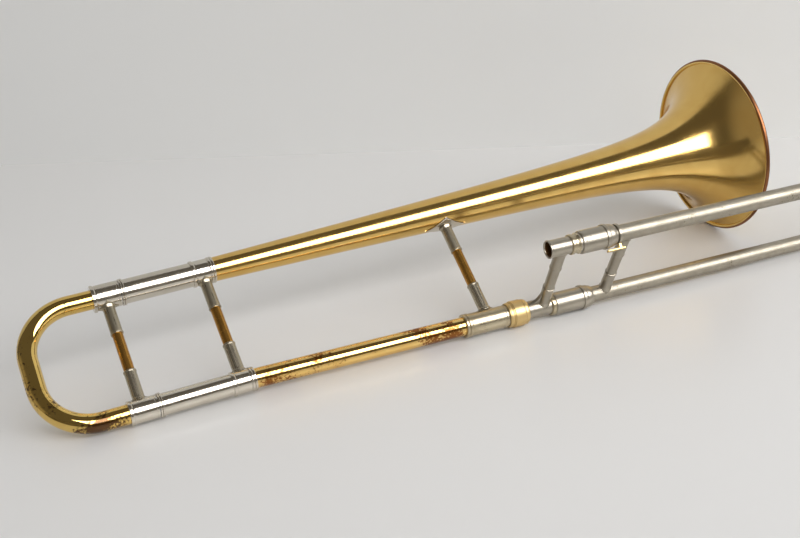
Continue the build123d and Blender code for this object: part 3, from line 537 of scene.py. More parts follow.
def makeReceiver():
    shape = receiverShape
    start, radius = shape["start"], shape["radius"]
    top = radius + 0.575
    corners = beadCorners(start, start + 2.9, radius - 0.2, top, 1.0)
    corners += beadCorners(start + 3.0, start + 5.9, radius - 0.2, top, 1.0)
    corners += [(start + 6.1, radius, 0.2), (shape["step"] - 2.4, radius, 0.15),
                (shape["step"] - 2.1, radius - 0.25, 0.1), (shape["step"] - 1.8, radius, 0.15),
                (shape["step"], radius, 0.4), (shape["step"], shape["threadRadius"] - 0.4)]
    turns = int((shape["end"] - shape["step"] - 1.0) / shape["pitch"])
    for turn in range(turns):
        groove = shape["step"] + 0.6 + turn * shape["pitch"]
        corners += [(groove, shape["threadRadius"] - 0.5),
                    (groove + shape["pitch"] * 0.4, shape["threadRadius"], 0.1),
                    (groove + shape["pitch"] * 0.6, shape["threadRadius"], 0.1)]
    corners += [(shape["end"], shape["threadRadius"] - 0.5), (shape["end"], shape["bore"]),
                (neckShape["end"], shape["bore"]), (neckShape["end"], neckShape["radius"]),
                (start, neckShape["radius"])]
    return turned(corners)


finishPiece("receiver", makeReceiver(), neckLine, "bell_section", [tarnishedNickel],
            ["neck_receiver"])

nutShape = {"start": 411.0, "end": 431.0, "radius": 12.3, "shoulder": 10.9, "band": 0.7, "chamber": 9.85,
            "bore": 8.25, "web": 425.0}


def makeNut():
    shape = nutShape
    start, end, radius = shape["start"], shape["end"], shape["radius"]
    groove = radius - shape["band"]
    return turned([
        (start, shape["chamber"] + 0.35, 0.1), (start, shape["shoulder"], 0.4), (start + 2.0, groove, 0.5),
        (start + 3.0, groove, 0.15), (start + 3.3, groove - 0.5, 0.12), (start + 3.8, groove - 0.5, 0.12),
        (start + 4.1, groove, 0.15), (start + 4.9, groove, 0.1), (start + 5.1, radius, 0.35),
        (end - 5.1, radius, 0.35), (end - 4.9, groove - 0.3, 0.15), (end - 4.2, groove - 0.3, 0.15),
        (end - 4.0, groove, 0.5), (end - 1.4, groove, 0.9), (end, shape["shoulder"], 0.4),
        (end, shape["bore"] + 0.4, 0.1), (end - 0.4, shape["bore"]), (shape["web"], shape["bore"]),
        (shape["web"], shape["chamber"]), (start + 0.35, shape["chamber"])], 128)


finishPiece("knuckle_nut", makeNut(), neckLine, "lock_nut", [turnedBrass], ["lock_nut"])
print("neck and nut made")

# Braces: a tube between two sockets that stand on pointed plates
braceShape = {"tube": 4.6, "socket": 5.6, "length": 27.0, "wall": 0.6, "flare": 0.5}
gripShape = {"tube": 4.9, "socket": 5.6, "length": 21.0, "wall": 0.6, "flare": 0.4}


# A socket standing on a tube of radius seat, drawn from the tube's axis outwards.
def makeSocket(shape, seat):
    top = seat + shape["length"]
    outer, bore = shape["socket"], shape["tube"]
    body = outer - 0.35
    bm = turned([
        (seat, outer + shape["flare"], 0.15), (seat + 0.7, outer + shape["flare"], 0.3),
        (seat + 1.8, body, 0.6), (top - 1.9, body, 0.15), (top - 1.6, outer, 0.3),
        (top, outer, 0.5), (top, bore), (seat + 1.0, bore), (seat, bore)], 64)
    for vert in bm.verts:
        if vert.co.z < seat + 0.02:
            vert.co.z = math.sqrt(max(seat ** 2 - vert.co.y ** 2, 0)) - 0.05
        elif vert.co.z < seat + 2.5:
            sunk = seat - math.sqrt(max(seat ** 2 - vert.co.y ** 2, 0))
            vert.co.z -= sunk * (1 - (vert.co.z - seat) / 2.5)
    return bm


# A pointed plate wrapped round a tube whose radius may change, with its middle towards drawing X.
def pointedPlate(station, radiusAt, half, thickness, edgeLift=0.0, waist=0.35):
    bm = bmesh.new()
    corners = [bm.verts.new(place) for place in ((-1, 0, 0), (0, -1, 0), (1, 0, 0), (0, 1, 0))]
    bm.faces.new(corners)
    bmesh.ops.subdivide_edges(bm, edges=bm.edges, cuts=21, use_grid_fill=True)
    bmesh.ops.recalc_face_normals(bm, faces=bm.faces)
    for vert in bm.verts:
        along, aside = vert.co.x, vert.co.y
        narrowed = aside * (1 - abs(along)) ** waist if abs(along) < 1 else 0.0
        spot = station + along * half[0]
        radius = radiusAt(spot)
        rim = max(0.0, (abs(along) + abs(aside) - 0.86) / 0.14)
        angle = narrowed * half[1] / radius
        height = radius + thickness + edgeLift * math.sin(min(rim, 1.0) * math.pi)
        vert.co = (height * math.cos(angle), height * math.sin(angle), spot)
    for face in bm.faces:
        if face.normal.dot(Vector((1, 0, 0))) < 0:
            face.normal_flip()
    bm.normal_update()
    if sum(face.normal.x for face in bm.faces) < 0:
        bmesh.ops.reverse_faces(bm, faces=bm.faces)
    bmesh.ops.solidify(bm, geom=list(bm.faces), thickness=thickness - 0.02)
    bmesh.ops.recalc_face_normals(bm, faces=bm.faces)
    rims = [edge for edge in bm.edges if edge.calc_face_angle(0) > math.radians(55)]
    bmesh.ops.bevel(bm, geom=rims, offset=0.14, offset_type="OFFSET", segments=2, profile=0.5, affect="EDGES",
                    clamp_overlap=True, material=-1)
    return bm


def braceAt(name, footLine, headLine, station, seats, shape, body, materials, nodes, plateHalf=None):
    foot, head = footLine @ Vector((0, 0, station)), headLine @ Vector((0, 0, station))
    span = (head - foot).length * 1000
    up = (head - foot).normalized()
    footPlace = drawingPlace(foot, alongBell, up)
    headPlace = footPlace @ Matrix.Translation((0, 0, span)) @ Matrix.Rotation(math.pi, 4, "X")
    turn = footPlace.inverted() @ headPlace
    parts = [makeSocket(shape, seats[0]), moved(makeSocket(shape, seats[1]), turn)]
    if plateHalf:  # a thin pointed plate under each foot
        for line, seat in ((footLine, seats[0]), (headLine, seats[1])):
            plate = pointedPlate(station, lambda spot: seat, plateHalf, 0.45, 0.15, 0.2)
            parts.append(moved(plate, footPlace.inverted() @ line))
    sockets = joined(*parts)
    finishPiece(name + "_sockets_pair", sockets, footPlace, body, [materials[0]], [nodes[0]])
    reach = shape["length"] * 0.75
    low, high = seats[0] + shape["length"] - reach, span - seats[1] - shape["length"] + reach
    finishPiece(name + "_rod", pipe(low, high, shape["tube"], shape["tube"] - shape["wall"]), footPlace, body,
                [materials[1]], [nodes[1]])


braceStations = {"crook": 75.0, "sleeve": 161.0, "inner": 448.6, "outer": 514.4}
sleeveSeats = (lowerTube["sleeve"] + 0.5, upperTube["sleeve"] + 0.5)
bellBrace = {"station": 394.0, "plateHalf": (21.0, 12.0), "saddleHalf": (9.0, 7.5), "thickness": 0.8}
bellSeat = bellRadius(bellBrace["station"]) + bellBrace["thickness"] + 0.3
receiverSeat = receiverShape["radius"] + bellBrace["thickness"]
braceAt("crook_brace", lowerLine, bellLine, braceStations["crook"], sleeveSeats, braceShape, "tuning_slide",
        (handledNickel, wornBrass), ("crook_brace_sockets", "crook_brace_tube"), (9.5, 9.0))
braceAt("sleeve_brace", lowerLine, bellLine, braceStations["sleeve"], sleeveSeats, braceShape,
        "bell_section", (handledNickel, wornBrass),
        ("sleeve_brace_sockets", "sleeve_brace_tube"), (9.5, 9.0))
braceAt("bell_brace", neckLine, bellLine, bellBrace["station"], (receiverSeat, bellSeat), braceShape,
        "bell_section", (handledNickel, wornBrass), ("bell_brace_sockets", "bell_brace_tube"))
gripSeats = {"inner": (8.2, 7.8), "outer": (8.3, 8.3)}
braceAt("inner_grip", neckLine, slideLine, braceStations["inner"], gripSeats["inner"], gripShape,
        "inner_slide", (satinNickel, satinNickel), ("inner_brace_sockets", "inner_brace_tube"))
braceAt("outer_grip", neckLine, slideLine, braceStations["outer"], gripSeats["outer"], gripShape,
        "outer_slide", (satinNickel, satinNickel), ("outer_brace_sockets", "outer_brace_tube"))


finishPiece("bell_brace_plate", pointedPlate(bellBrace["station"], bellRadius, bellBrace["plateHalf"],
            bellBrace["thickness"], 0.25, 0.3), bellLine, "bell_section",
            [nickelSilver], ["bell_plate"])
bracePoint = Vector((0, 0, bellBrace["station"]))
saddleUp = (bellLine @ bracePoint) - (neckLine @ bracePoint)
saddlePlace = drawingPlace(neckRoot, saddleUp, alongSlide)
finishPiece("receiver_saddle", pointedPlate(bellBrace["station"], lambda spot: receiverShape["radius"],
            bellBrace["saddleHalf"], bellBrace["thickness"], 0.0, 0.0), saddlePlace, "bell_section",
            [nickelSilver], ["bell_brace_saddle"])
slideSaddle = {"radius": 7.5, "half": (9.0, 7.5), "thickness": 0.8}
outerPlates = [moved(pointedPlate(braceStations["outer"], lambda spot: slideSaddle["radius"],
                                  slideSaddle["half"], slideSaddle["thickness"], 0.0, 0.0), line)
               for line in (neckLine, slideLine)]
plates = moved(joined(*outerPlates), neckLine.inverted())
finishPiece("slide_saddles", plates, neckLine, "outer_slide", [satinNickel],
            ["slide_plates"])

# Gusset: a curved web between the tenon and the inner brace
gussetShape = {"corner": 443.0, "length": 12.0, "height": 14.0, "foot": 8.15, "thickness": 3.0, "steps": 14}


def makeGusset():
    shape = gussetShape
    bm = bmesh.new()
    start, top = shape["corner"] - shape["length"], shape["foot"] + shape["height"]
    waist = (shape["corner"] - shape["length"] / 6, shape["foot"] + shape["height"] / 6)
    curve = []
    for step in range(shape["steps"] + 1):
        t = step / shape["steps"]
        curve.append(((1 - t) ** 2 * start + 2 * t * (1 - t) * waist[0] + t * t * shape["corner"],
                      (1 - t) ** 2 * shape["foot"] + 2 * t * (1 - t) * waist[1] + t * t * top))
    points = [bm.verts.new((x, y, -shape["thickness"] / 2)) for x, y in curve]
    points.append(bm.verts.new((shape["corner"], shape["foot"], -shape["thickness"] / 2)))
    face = bm.faces.new(points)
    raised = bmesh.ops.extrude_face_region(bm, geom=[face])["geom"]
    bmesh.ops.translate(bm, vec=(0, 0, shape["thickness"]),
                        verts=[part for part in raised if isinstance(part, bmesh.types.BMVert)])
    bmesh.ops.recalc_face_normals(bm, faces=bm.faces)
    rims = [edge for edge in bm.edges if edge.calc_face_angle(0) > math.radians(50)
            and min(vert.co.y for vert in edge.verts) > shape["foot"] + 0.5]
    bmesh.ops.bevel(bm, geom=rims, offset=0.5, offset_type="OFFSET", segments=3, profile=0.5, affect="EDGES",
                    clamp_overlap=True, material=-1)
    bmesh.ops.triangulate(bm, faces=[face for face in bm.faces if len(face.verts) > 4])
    return bm


finishPiece("grip_gusset", makeGusset(), slideFlat, "inner_slide", [satinNickel],
            ["brace_gusset"])
print("braces made")

# Inner slide
innerShape = {"radius": 6.75, "wall": 0.45, "end": 1104.0, "stocking": 7.03, "stockingLength": 100.0,
              "tenon": 8.2, "tenonStart": 396.0, "flange": (421.4, 423.0, 9.4), "barrelStart": 459.5,
              "upperBarrel": 462.4, "foot": 464.4, "barrelEnd": 488.5, "barrel": 10.5, "barrelWall": 0.8,
              "ringEnd": 499.5, "ring": 11.5, "ringMouth": 9.1, "mouth": 433.5, "mouthRadius": 7.8,
              "mouthBore": 6.55, "collar": 9.1}


def makeTenon():
    shape = innerShape
    low, high, flange = shape["flange"]
    return turned([(shape["tenonStart"], shape["radius"]), (shape["tenonStart"], shape["tenon"], 0.4),
                   (low, shape["tenon"]), (low, flange, 0.2), (high, flange, 0.4),
                   (high, shape["tenon"], 0.1), (436.0, shape["tenon"], 0.1),
                   (436.3, shape["tenon"] - 0.2, 0.1), (436.6, shape["tenon"], 0.1),
                   (shape["barrelStart"], shape["tenon"]), (shape["barrelStart"], shape["radius"])])


def makeMouthTube():
    shape = innerShape
    mouth, foot, upper, radius = shape["mouth"], shape["foot"], shape["upperBarrel"], shape["mouthRadius"]
    return turned([(mouth, shape["mouthBore"] + 0.5, 0.15), (mouth, radius + 0.35, 0.3),
                   (mouth + 1.6, radius + 0.35, 0.3), (mouth + 1.9, radius, 0.2), (upper, radius),
                   (upper, shape["collar"]), (foot, shape["collar"]), (foot, shape["mouthBore"]),
                   (mouth + 1.2, shape["mouthBore"], 0.2)])


def makeUpperCollar():
    shape = innerShape
    end, start, top = shape["upperBarrel"], shape["upperBarrel"] - 8.0, shape["collar"]
    corners = beadCorners(start, start + 3.6, shape["mouthRadius"] + 0.4, top, 1.4)
    corners += [(start + 3.8, top - 0.7, 0.2), (end - 2.4, top - 0.7, 0.6), (end, top + 0.6, 0.3)]
    return turned(corners + [(end, shape["mouthRadius"]), (start, shape["mouthRadius"])])


def makeLowerCollar():
    shape = innerShape
    end = shape["barrelStart"]
    return turned([(end - 4, shape["tenon"]), (end - 4, shape["barrel"] - 0.4, 1.3),
                   (end, shape["barrel"] - 0.4, 0.9), (end, shape["tenon"])])


def makeBarrel(start):
    shape = innerShape
    radius, chamber = shape["barrel"], shape["barrel"] - shape["barrelWall"]
    end = shape["barrelEnd"]
    return turned([(start, shape["radius"]), (start, radius - 0.6, 0.5), (start + 1.4, radius, 0.6),
                   (end, radius), (end, chamber), (start + 2, chamber, 0.3),
                   (start + 2, shape["radius"])])


def makeBarrelRing():
    shape = innerShape
    start, end, radius, mouth = shape["barrelEnd"], shape["ringEnd"], shape["ring"], shape["ringMouth"]
    return turned([(start, shape["barrel"] - shape["barrelWall"]), (start, radius - 0.3, 0.3),
                   (start + 0.6, radius, 0.3), (start + 3.4, radius, 0.6), (start + 4.0, radius - 0.9, 0.3),
                   (end - 3.6, radius - 0.9, 1.8), (end - 0.8, radius - 2.0, 0.7), (end, mouth + 0.25, 0.1),
                   (end, mouth, 0.1), (start + 1, mouth)])


for side, line, start in (("upper", slideLine, innerShape["foot"]),
                          ("lower", neckLine, innerShape["barrelStart"])):
    tubeStart = innerShape["foot"] if side == "upper" else innerShape["tenonStart"]
    finishPiece(side + "_slide_inner", pipe(tubeStart, innerShape["end"], innerShape["radius"],
                innerShape["radius"] - innerShape["wall"]), line, "inner_slide", [hardChrome],
                [side + "_inner_tube"])
    finishPiece(side + "_stocking_end", turned([
        (innerShape["end"] - innerShape["stockingLength"] - 3, innerShape["radius"]),
        (innerShape["end"] - innerShape["stockingLength"], innerShape["stocking"], 0.8),
        (innerShape["end"], innerShape["stocking"], 0.15), (innerShape["end"], innerShape["radius"])]), line,
        "inner_slide", [hardChrome], [side + "_stocking"])
    finishPiece(side + "_cork_barrel", makeBarrel(start), line, "inner_slide",
                [satinNickel], [side + "_barrel"])
    finishPiece(side + "_cork_barrel_ring", makeBarrelRing(), line, "inner_slide",
                [satinNickel], [side + "_barrel_ring"])
finishPiece("slide_tenon", makeTenon(), neckLine, "inner_slide", [satinNickel],
            ["tenon"])
mouthTube = makeMouthTube()
for face in mouthTube.faces:
    middle = face.calc_center_median()
    if math.hypot(middle.x, middle.y) < innerShape["mouthBore"] + 0.1:
        face.material_index = 1
finishPiece("mouthpiece_tube", mouthTube, slideLine, "inner_slide",
            [satinNickel, brownBore], ["mouthpiece_receiver"])
leadpipeShape = {"length": 190, "outer": 6.3, "inner": 5.95}
finishPiece("leadpipe_tube", pipe(innerShape["foot"], innerShape["foot"] + leadpipeShape["length"],
            leadpipeShape["outer"], leadpipeShape["inner"]), slideLine, "inner_slide",
            [brownBore], ["leadpipe"])
finishPiece("mouthpiece_collar", makeUpperCollar(), slideLine, "inner_slide",
            [tarnishedNickel], ["upper_collar"])
finishPiece("tenon_collar", makeLowerCollar(), neckLine, "inner_slide",
            [tarnishedNickel], ["lower_collar"])
corkShape = {"upper": 466.45, "lower": 461.55, "length": 11.95, "outer": 9.65, "inner": 6.8, "edge": 0.3}


def makeCork(start):
    shape = corkShape
    return pipe(start, start + shape["length"], shape["outer"], shape["inner"], shape["edge"])


corkRings = joined(moved(makeCork(corkShape["upper"]), slideLine),
                   moved(makeCork(corkShape["lower"]), neckLine))
finishPiece("cork_rings", moved(corkRings, neckLine.inverted()), neckLine, "inner_slide",
            [pressedCork], ["corks"])
print("inner slide made")

# Outer slide
outerShape = {"radius": 7.5, "wall": 0.4, "top": 491.0, "end": 1110.0, "collar": 8.6, "bow": 7.4,
              "ferruleStart": 1096.0, "ferrule": 8.4, "bead": 0.575, "guard": 0.6, "guardAngle": 110.0,
              "guardEdge": 1.5}


def makeTopCollar():
    shape = outerShape
    top = shape["top"]
    return turned([(top, shape["radius"]), (top, shape["collar"], 0.5), (top + 6, shape["collar"], 0.6),
                   (top + 6, shape["radius"])])


def makeBowFerrule():
    shape = outerShape
    start = shape["ferruleStart"]
    corners = beadCorners(start, start + 3.0, shape["ferrule"] - 0.1, shape["ferrule"] + shape["bead"], 1.2)
    corners += [(start + 3.2, shape["ferrule"], 0.1), (shape["end"] - 2.0, shape["ferrule"], 0.2),
                (shape["end"] - 1.6, shape["ferrule"] - 0.2, 0.1),
                (shape["end"] - 1.2, shape["ferrule"], 0.2), (shape["end"], shape["ferrule"], 0.4)]
    return turned(corners + [(shape["end"], shape["radius"]), (start, shape["radius"])])


for side, line in (("upper", slideLine), ("lower", neckLine)):
    finishPiece(side + "_slide_outer", pipe(outerShape["top"], outerShape["end"], outerShape["radius"],
                outerShape["radius"] - outerShape["wall"]), line, "outer_slide",
                [drawnNickel], [side + "_outer_tube"])
    finishPiece(side + "_bow_cup", makeBowFerrule(), line, "outer_slide",
                [satinNickel], [side + "_bow_ferrule"])
collars = joined(moved(makeTopCollar(), slideLine), moved(makeTopCollar(), neckLine))
finishPiece("slide_top_collars", moved(collars, neckLine.inverted()), neckLine, "outer_slide",
            [nickelSilver], ["top_collars"])


def makeBow():
    shape = outerShape
    bm = bmesh.new()
    ring = ringAt(bm, shape["bow"], 72,
                  Matrix.Translation((shape["end"], 0, 0)) @ Matrix.Rotation(math.pi / 2, 4, "Y"))
    bendRing(bm, ring, (shape["end"], slideSpacing / 2, 0), math.pi, 72)
    return thicken(bm, 0.5)


def makeGuard():
    shape = outerShape
    bm = bmesh.new()
    centre = (shape["end"], slideSpacing / 2, 0)
    outer = shape["bow"] + shape["guard"]
    place = Matrix.Translation((shape["end"] + slideSpacing / 2, slideSpacing / 2, 0)) @ Matrix.Rotation(
        math.pi / 2, 4, "X")
    made = bmesh.ops.create_circle(bm, cap_ends=False, segments=96, radius=outer, matrix=place)["verts"]
    edge = shape["end"] + slideSpacing / 2 + shape["guardEdge"]
    bmesh.ops.delete(bm, geom=[vert for vert in made if vert.co.x < edge], context="VERTS")
    half = math.radians(shape["guardAngle"]) / 2
    bmesh.ops.rotate(bm, verts=bm.verts, cent=centre, matrix=Matrix.Rotation(-half, 3, "Z"))
    bendRing(bm, list(bm.edges), centre, 2 * half, 56)
    closeUp(bm)
    if sum(face.normal.x for face in bm.faces) < 0:
        bmesh.ops.reverse_faces(bm, faces=bm.faces)
    bmesh.ops.solidify(bm, geom=list(bm.faces), thickness=shape["guard"] - 0.03)
    bmesh.ops.recalc_face_normals(bm, faces=bm.faces)
    rims = [edge for edge in bm.edges if edge.calc_face_angle(0) > math.radians(55)]
    bmesh.ops.bevel(bm, geom=rims, offset=0.2, offset_type="OFFSET", segments=2, profile=0.5, affect="EDGES",
                    clamp_overlap=True, material=-1)
    return bm


finishPiece("slide_bow", makeBow(), slideFlat, "outer_slide", [satinNickel], ["bow"],
            weighted=False)
finishPiece("bow_guard_plate", makeGuard(), slideFlat, "outer_slide", [satinNickel],
            ["bow_guard"])

bumperShape = {"tip": 1110.0 + slideSpacing / 2 + 8.0, "socket": 6.8, "socketLength": 5.0, "radius": 6.0,
               "length": 10.0}


def makeBumperSocket():
    shape = bumperShape
    tip = shape["tip"]
    return turned([(tip - 0.6, 0), (tip - 0.6, shape["socket"] - 1.2, 0.2), (tip + 1.2, shape["socket"], 0.6),
                   (tip + shape["socketLength"], shape["socket"], 0.3),
                   (tip + shape["socketLength"], shape["radius"], 0.1), (tip + 1.5, shape["radius"]),
                   (tip + 1.5, 0)])


def makeBumper():
    shape = bumperShape
    tip, radius, end = shape["tip"], shape["radius"], shape["tip"] + shape["length"]
    return turned([(tip + 1.5, 0), (tip + 1.5, radius, 0.1), (tip + 5.6, radius, 0.1),
                   (tip + 6.1, radius - 0.35, 0.15), (tip + 6.6, radius, 0.15),
                   (end - 1.2, radius - 0.4, 1.6), (end, radius - 2.6, 0.8), (end, 0)])


finishPiece("bumper_cup", makeBumperSocket(), tipLine, "outer_slide", [satinNickel],
            ["bumper_socket"])
finishPiece("rubber_bumper", makeBumper(), tipLine, "outer_slide", [blackRubber], ["bumper"])
print("outer slide made")

# Slide lock: a ring on the outer tube with a bar that reaches back over the barrel ring
lockShape = {"start": 501.6, "length": 3.0, "bore": 7.56, "ring": 9.3, "barInner": 12.3, "barThickness": 2.2,
             "barWidth": 3.6, "barStart": 489.5, "barEnd": 508.0, "armFoot": 8.2, "turn": 62.0}


def makeLock():
    shape = lockShape
    start, end = shape["start"], shape["start"] + shape["length"]
    ring = turned([(start, shape["bore"], 0.2), (start, shape["ring"], 0.5), (end, shape["ring"], 0.5),
                   (end, shape["bore"], 0.2)])
    top = shape["barInner"] + shape["barThickness"]
    arm = block((top - shape["armFoot"], shape["barWidth"], shape["length"]),
                Matrix.Translation(((top + shape["armFoot"]) / 2, 0, (start + end) / 2)), 0.6)
    barMiddle = (shape["barEnd"] + shape["barStart"]) / 2
    bar = block((shape["barThickness"], shape["barWidth"], shape["barEnd"] - shape["barStart"]),
                Matrix.Translation((top - shape["barThickness"] / 2, 0, barMiddle)), 0.7)
    for part in (arm, bar):
        for face in part.faces:
            face.material_index = 1
    return joined(ring, arm, bar)


turnUp = math.radians(lockShape["turn"])
lockPlace = drawingPlace(slideRoot, -acrossSlide * math.cos(turnUp) + slideFace * math.sin(turnUp),
                         alongSlide)
finishPiece("lock_ring_and_bar", makeLock(), lockPlace, "slide_lock",
            [satinNickel, turnedBrass], ["slide_lock"])

# Water key on the lower tube, facing the upper one
keyShape = {"nipple": 1070.0, "nippleRadius": 3.2, "nippleTop": 11.1, "pivot": 1054.0, "pinHeight": 13.0,
            "pin": 0.9, "width": 4.6, "thickness": 1.6, "arm": 27.0, "rise": 15.0, "cup": 4.2,
            "padThickness": 1.6, "postThickness": 1.4, "postGap": 0.3, "knuckle": 2.4, "postFoot": 7.0,
            "postTop": 1.6, "seat": 8.3, "footHalf": 4.5, "footThickness": 0.78, "bore": 1.6,
            "padGap": 0.05, "pinPlay": 0.06}


# Turns a drawing so that its Z lies along the pin of the water key.
def crosswise(place, angle=0.0):
    return Matrix.Translation(place) @ Matrix.Rotation(angle, 4, "Z")


def makeNipple():
    shape = keyShape
    seat = outerShape["radius"]
    bm = turned([(seat - 0.4, shape["bore"]), (seat - 0.4, shape["nippleRadius"] + 0.5),
                 (seat + 0.8, shape["nippleRadius"], 0.4),
                 (shape["nippleTop"] - 0.9, shape["nippleRadius"], 0.2), (shape["nippleTop"], 2.1, 0.15),
                 (shape["nippleTop"], shape["bore"])], 48)
    for vert in bm.verts:
        if vert.co.z < seat:
            vert.co.z = math.sqrt(seat ** 2 - vert.co.y ** 2) + 0.02
    return bm


def makeSaddle():
    shape = keyShape
    side = shape["width"] / 2 + shape["postGap"] + shape["postThickness"] / 2
    parts = []
    for sign in (-1, 1):
        post = turned([(-shape["postThickness"] / 2, shape["pin"]),
                       (-shape["postThickness"] / 2, shape["knuckle"], 0.3),
                       (shape["postThickness"] / 2, shape["knuckle"], 0.3),
                       (shape["postThickness"] / 2, shape["pin"])], 40)
        parts.append(moved(post, crosswise((shape["pivot"], shape["pinHeight"], sign * side))))
        parts.append(block((2 * shape["knuckle"] - 0.3,
                            shape["pinHeight"] - shape["postFoot"] - shape["postTop"],
                            shape["postThickness"]), crosswise((shape["pivot"],
                                      (shape["pinHeight"] - shape["postTop"] + shape["postFoot"]) / 2,
                                      sign * side)), 0.3))
    foot = bmesh.new()
    bmesh.ops.create_grid(foot, x_segments=2, y_segments=24, size=1.0)
    reach = side + shape["postThickness"] / 2
    for vert in foot.verts:
        angle = vert.co.y * reach / shape["seat"]
        vert.co = (shape["pivot"] + vert.co.x * shape["footHalf"], shape["seat"] * math.cos(angle),
                   shape["seat"] * math.sin(angle))
    foot.normal_update()
    if sum(face.normal.y for face in foot.faces) < 0:
        bmesh.ops.reverse_faces(foot, faces=foot.faces)
    bmesh.ops.solidify(foot, geom=list(foot.faces), thickness=shape["footThickness"])
    bmesh.ops.recalc_face_normals(foot, faces=foot.faces)
    return joined(foot, *parts)


def makePin():
    shape = keyShape
    half = shape["width"] / 2 + shape["postGap"] + shape["postThickness"]
    pin = turned([(-half, 0), (-half, shape["pin"], 0.2), (half, shape["pin"], 0.2), (half, 0)], 32)
    return moved(pin, crosswise((shape["pivot"], shape["pinHeight"], 0)))


def makeLever():
    shape = keyShape
    half = shape["width"] / 2
    knuckle = turned([(-half, shape["pin"] + shape["pinPlay"]), (-half, shape["knuckle"], 0.3),
                      (half, shape["knuckle"], 0.3), (half, shape["pin"] + shape["pinPlay"])], 48)
    padTop = shape["nippleTop"] + shape["padGap"] + shape["padThickness"]
    reach = shape["nipple"] - shape["pivot"]
    parts = [moved(knuckle, crosswise((shape["pivot"], shape["pinHeight"], 0)))]
    parts.append(block((reach - 1.6, shape["thickness"], shape["width"] - 0.6), crosswise(
        (shape["pivot"] + reach / 2 + 0.8, padTop + shape["thickness"] / 2, 0)), 0.5))
    rise = math.radians(shape["rise"])
    armLength = shape["arm"] - 1.8
    middle = 1.8 + armLength / 2
    parts.append(block((armLength, shape["thickness"], shape["width"] - 0.4), crosswise(
        (shape["pivot"] - middle * math.cos(rise), shape["pinHeight"] + middle * math.sin(rise), 0), -rise),
                       0.6))
    cup = turned([(padTop - 0.9, shape["cup"] - 0.5), (padTop - 0.9, shape["cup"], 0.2),
                  (padTop + shape["thickness"], shape["cup"], 0.7), (padTop + shape["thickness"], 0),
                  (padTop, 0), (padTop, shape["cup"] - 0.5)], 56)
    parts.append(moved(cup, Matrix.Translation((shape["nipple"], 0, 0))
                       @ Matrix.Rotation(-math.pi / 2, 4, "X")))
    return joined(*parts)


def makePad():
    shape = keyShape
    bottom = shape["nippleTop"] + shape["padGap"]
    pad = turned([(bottom, 0), (bottom, shape["cup"] - 0.6, 0.3),
                  (bottom + shape["padThickness"], shape["cup"] - 0.6),
                  (bottom + shape["padThickness"], 0)], 48)
    return moved(pad, Matrix.Translation((shape["nipple"], 0, 0)) @ Matrix.Rotation(-math.pi / 2, 4, "X"))


nipplePlace = Matrix.Translation((keyShape["nipple"], 0, 0)) @ Matrix.Rotation(-math.pi / 2, 4, "X")
finishPiece("water_hole_nipple", moved(makeNipple(), nipplePlace), slideFlat, "outer_slide",
            [satinNickel], ["water_key_nipple"])
finishPiece("water_key_posts", makeSaddle(), slideFlat, "outer_slide", [satinNickel],
            ["water_key_saddle"])
finishPiece("water_key_axle", makePin(), slideFlat, "outer_slide", [springSteel],
            ["water_key_pin"])
finishPiece("water_key_arm", makeLever(), slideFlat, "water_key", [satinNickel],
            ["water_key_lever"])
finishPiece("water_key_cork", makePad(), slideFlat, "water_key", [pressedCork], ["water_key_pad"])
print("lock and water key made")

# Table, backdrop, light and camera
studio = {"tableHalf": 6.0, "wallAt": (-0.064, 0.404), "wallTurn": -25.6, "wallHalf": 1.7, "wallHeight": 1.35,
          "boxDistance": 1.9, "boxElevation": 41.0, "boxSize": (3.2, 1.12), "boxAim": (0.76, 0.03, 0.09),
          "shinePower": 92.0, "fillPower": 42.0, "roomLight": 0.4, "roomDark": 0.15, "roomPale": 0.42,
          "cardAt": -0.72, "cardHeight": 0.34, "cardShift": 0.3, "cardHalf": 3.0}


def paleSurface(name, colour, roughness, oneSided):
    material, tree, shader = newMaterial(name)
    place = addNode(tree, "ShaderNodeTexCoord").outputs["Object"]
    haze = addNode(tree, "ShaderNodeTexNoise", values={"Scale": 3.0, "Detail": 3.0}, links={"Vector": place})
    rough = addNode(tree, "ShaderNodeMapRange",
                    values={"To Min": roughness * 0.9, "To Max": roughness * 1.15},
                    links={"Value": haze.outputs["Fac"]})
    tree.links.new(rough.outputs["Result"], shader.inputs["Roughness"])
    shader.inputs["Base Color"].default_value = hexColour(colour)
    shader.inputs["Specular IOR Level"].default_value = 0.0 if oneSided else 0.4
    if oneSided:  # seen from behind, the wall lets the view through
        output = [item for item in tree.nodes if item.type == "OUTPUT_MATERIAL"][0]
        clear = addNode(tree, "ShaderNodeBsdfTransparent")
        side = addNode(tree, "ShaderNodeNewGeometry").outputs["Backfacing"]
        mixed = addNode(tree, "ShaderNodeMixShader",
                        links={0: side, 1: shader.outputs["BSDF"], 2: clear.outputs[0]})
        tree.links.new(mixed.outputs[0], output.inputs["Surface"])
    return material


def flatSheet(name, halfX, halfY, place, material):
    bm = bmesh.new()
    bmesh.ops.create_grid(bm, x_segments=1, y_segments=1, size=1.0)
    bmesh.ops.scale(bm, vec=(halfX, halfY, 1), verts=bm.verts)
    bmesh.ops.transform(bm, matrix=place, verts=bm.verts)
    mesh = bpy.data.meshes.new(name)
    bm.to_mesh(mesh)
    bm.free()
    sheet = bpy.data.objects.new(name, mesh)
    mesh.materials.append(material)
    bpy.context.scene.collection.objects.link(sheet)
    return sheet


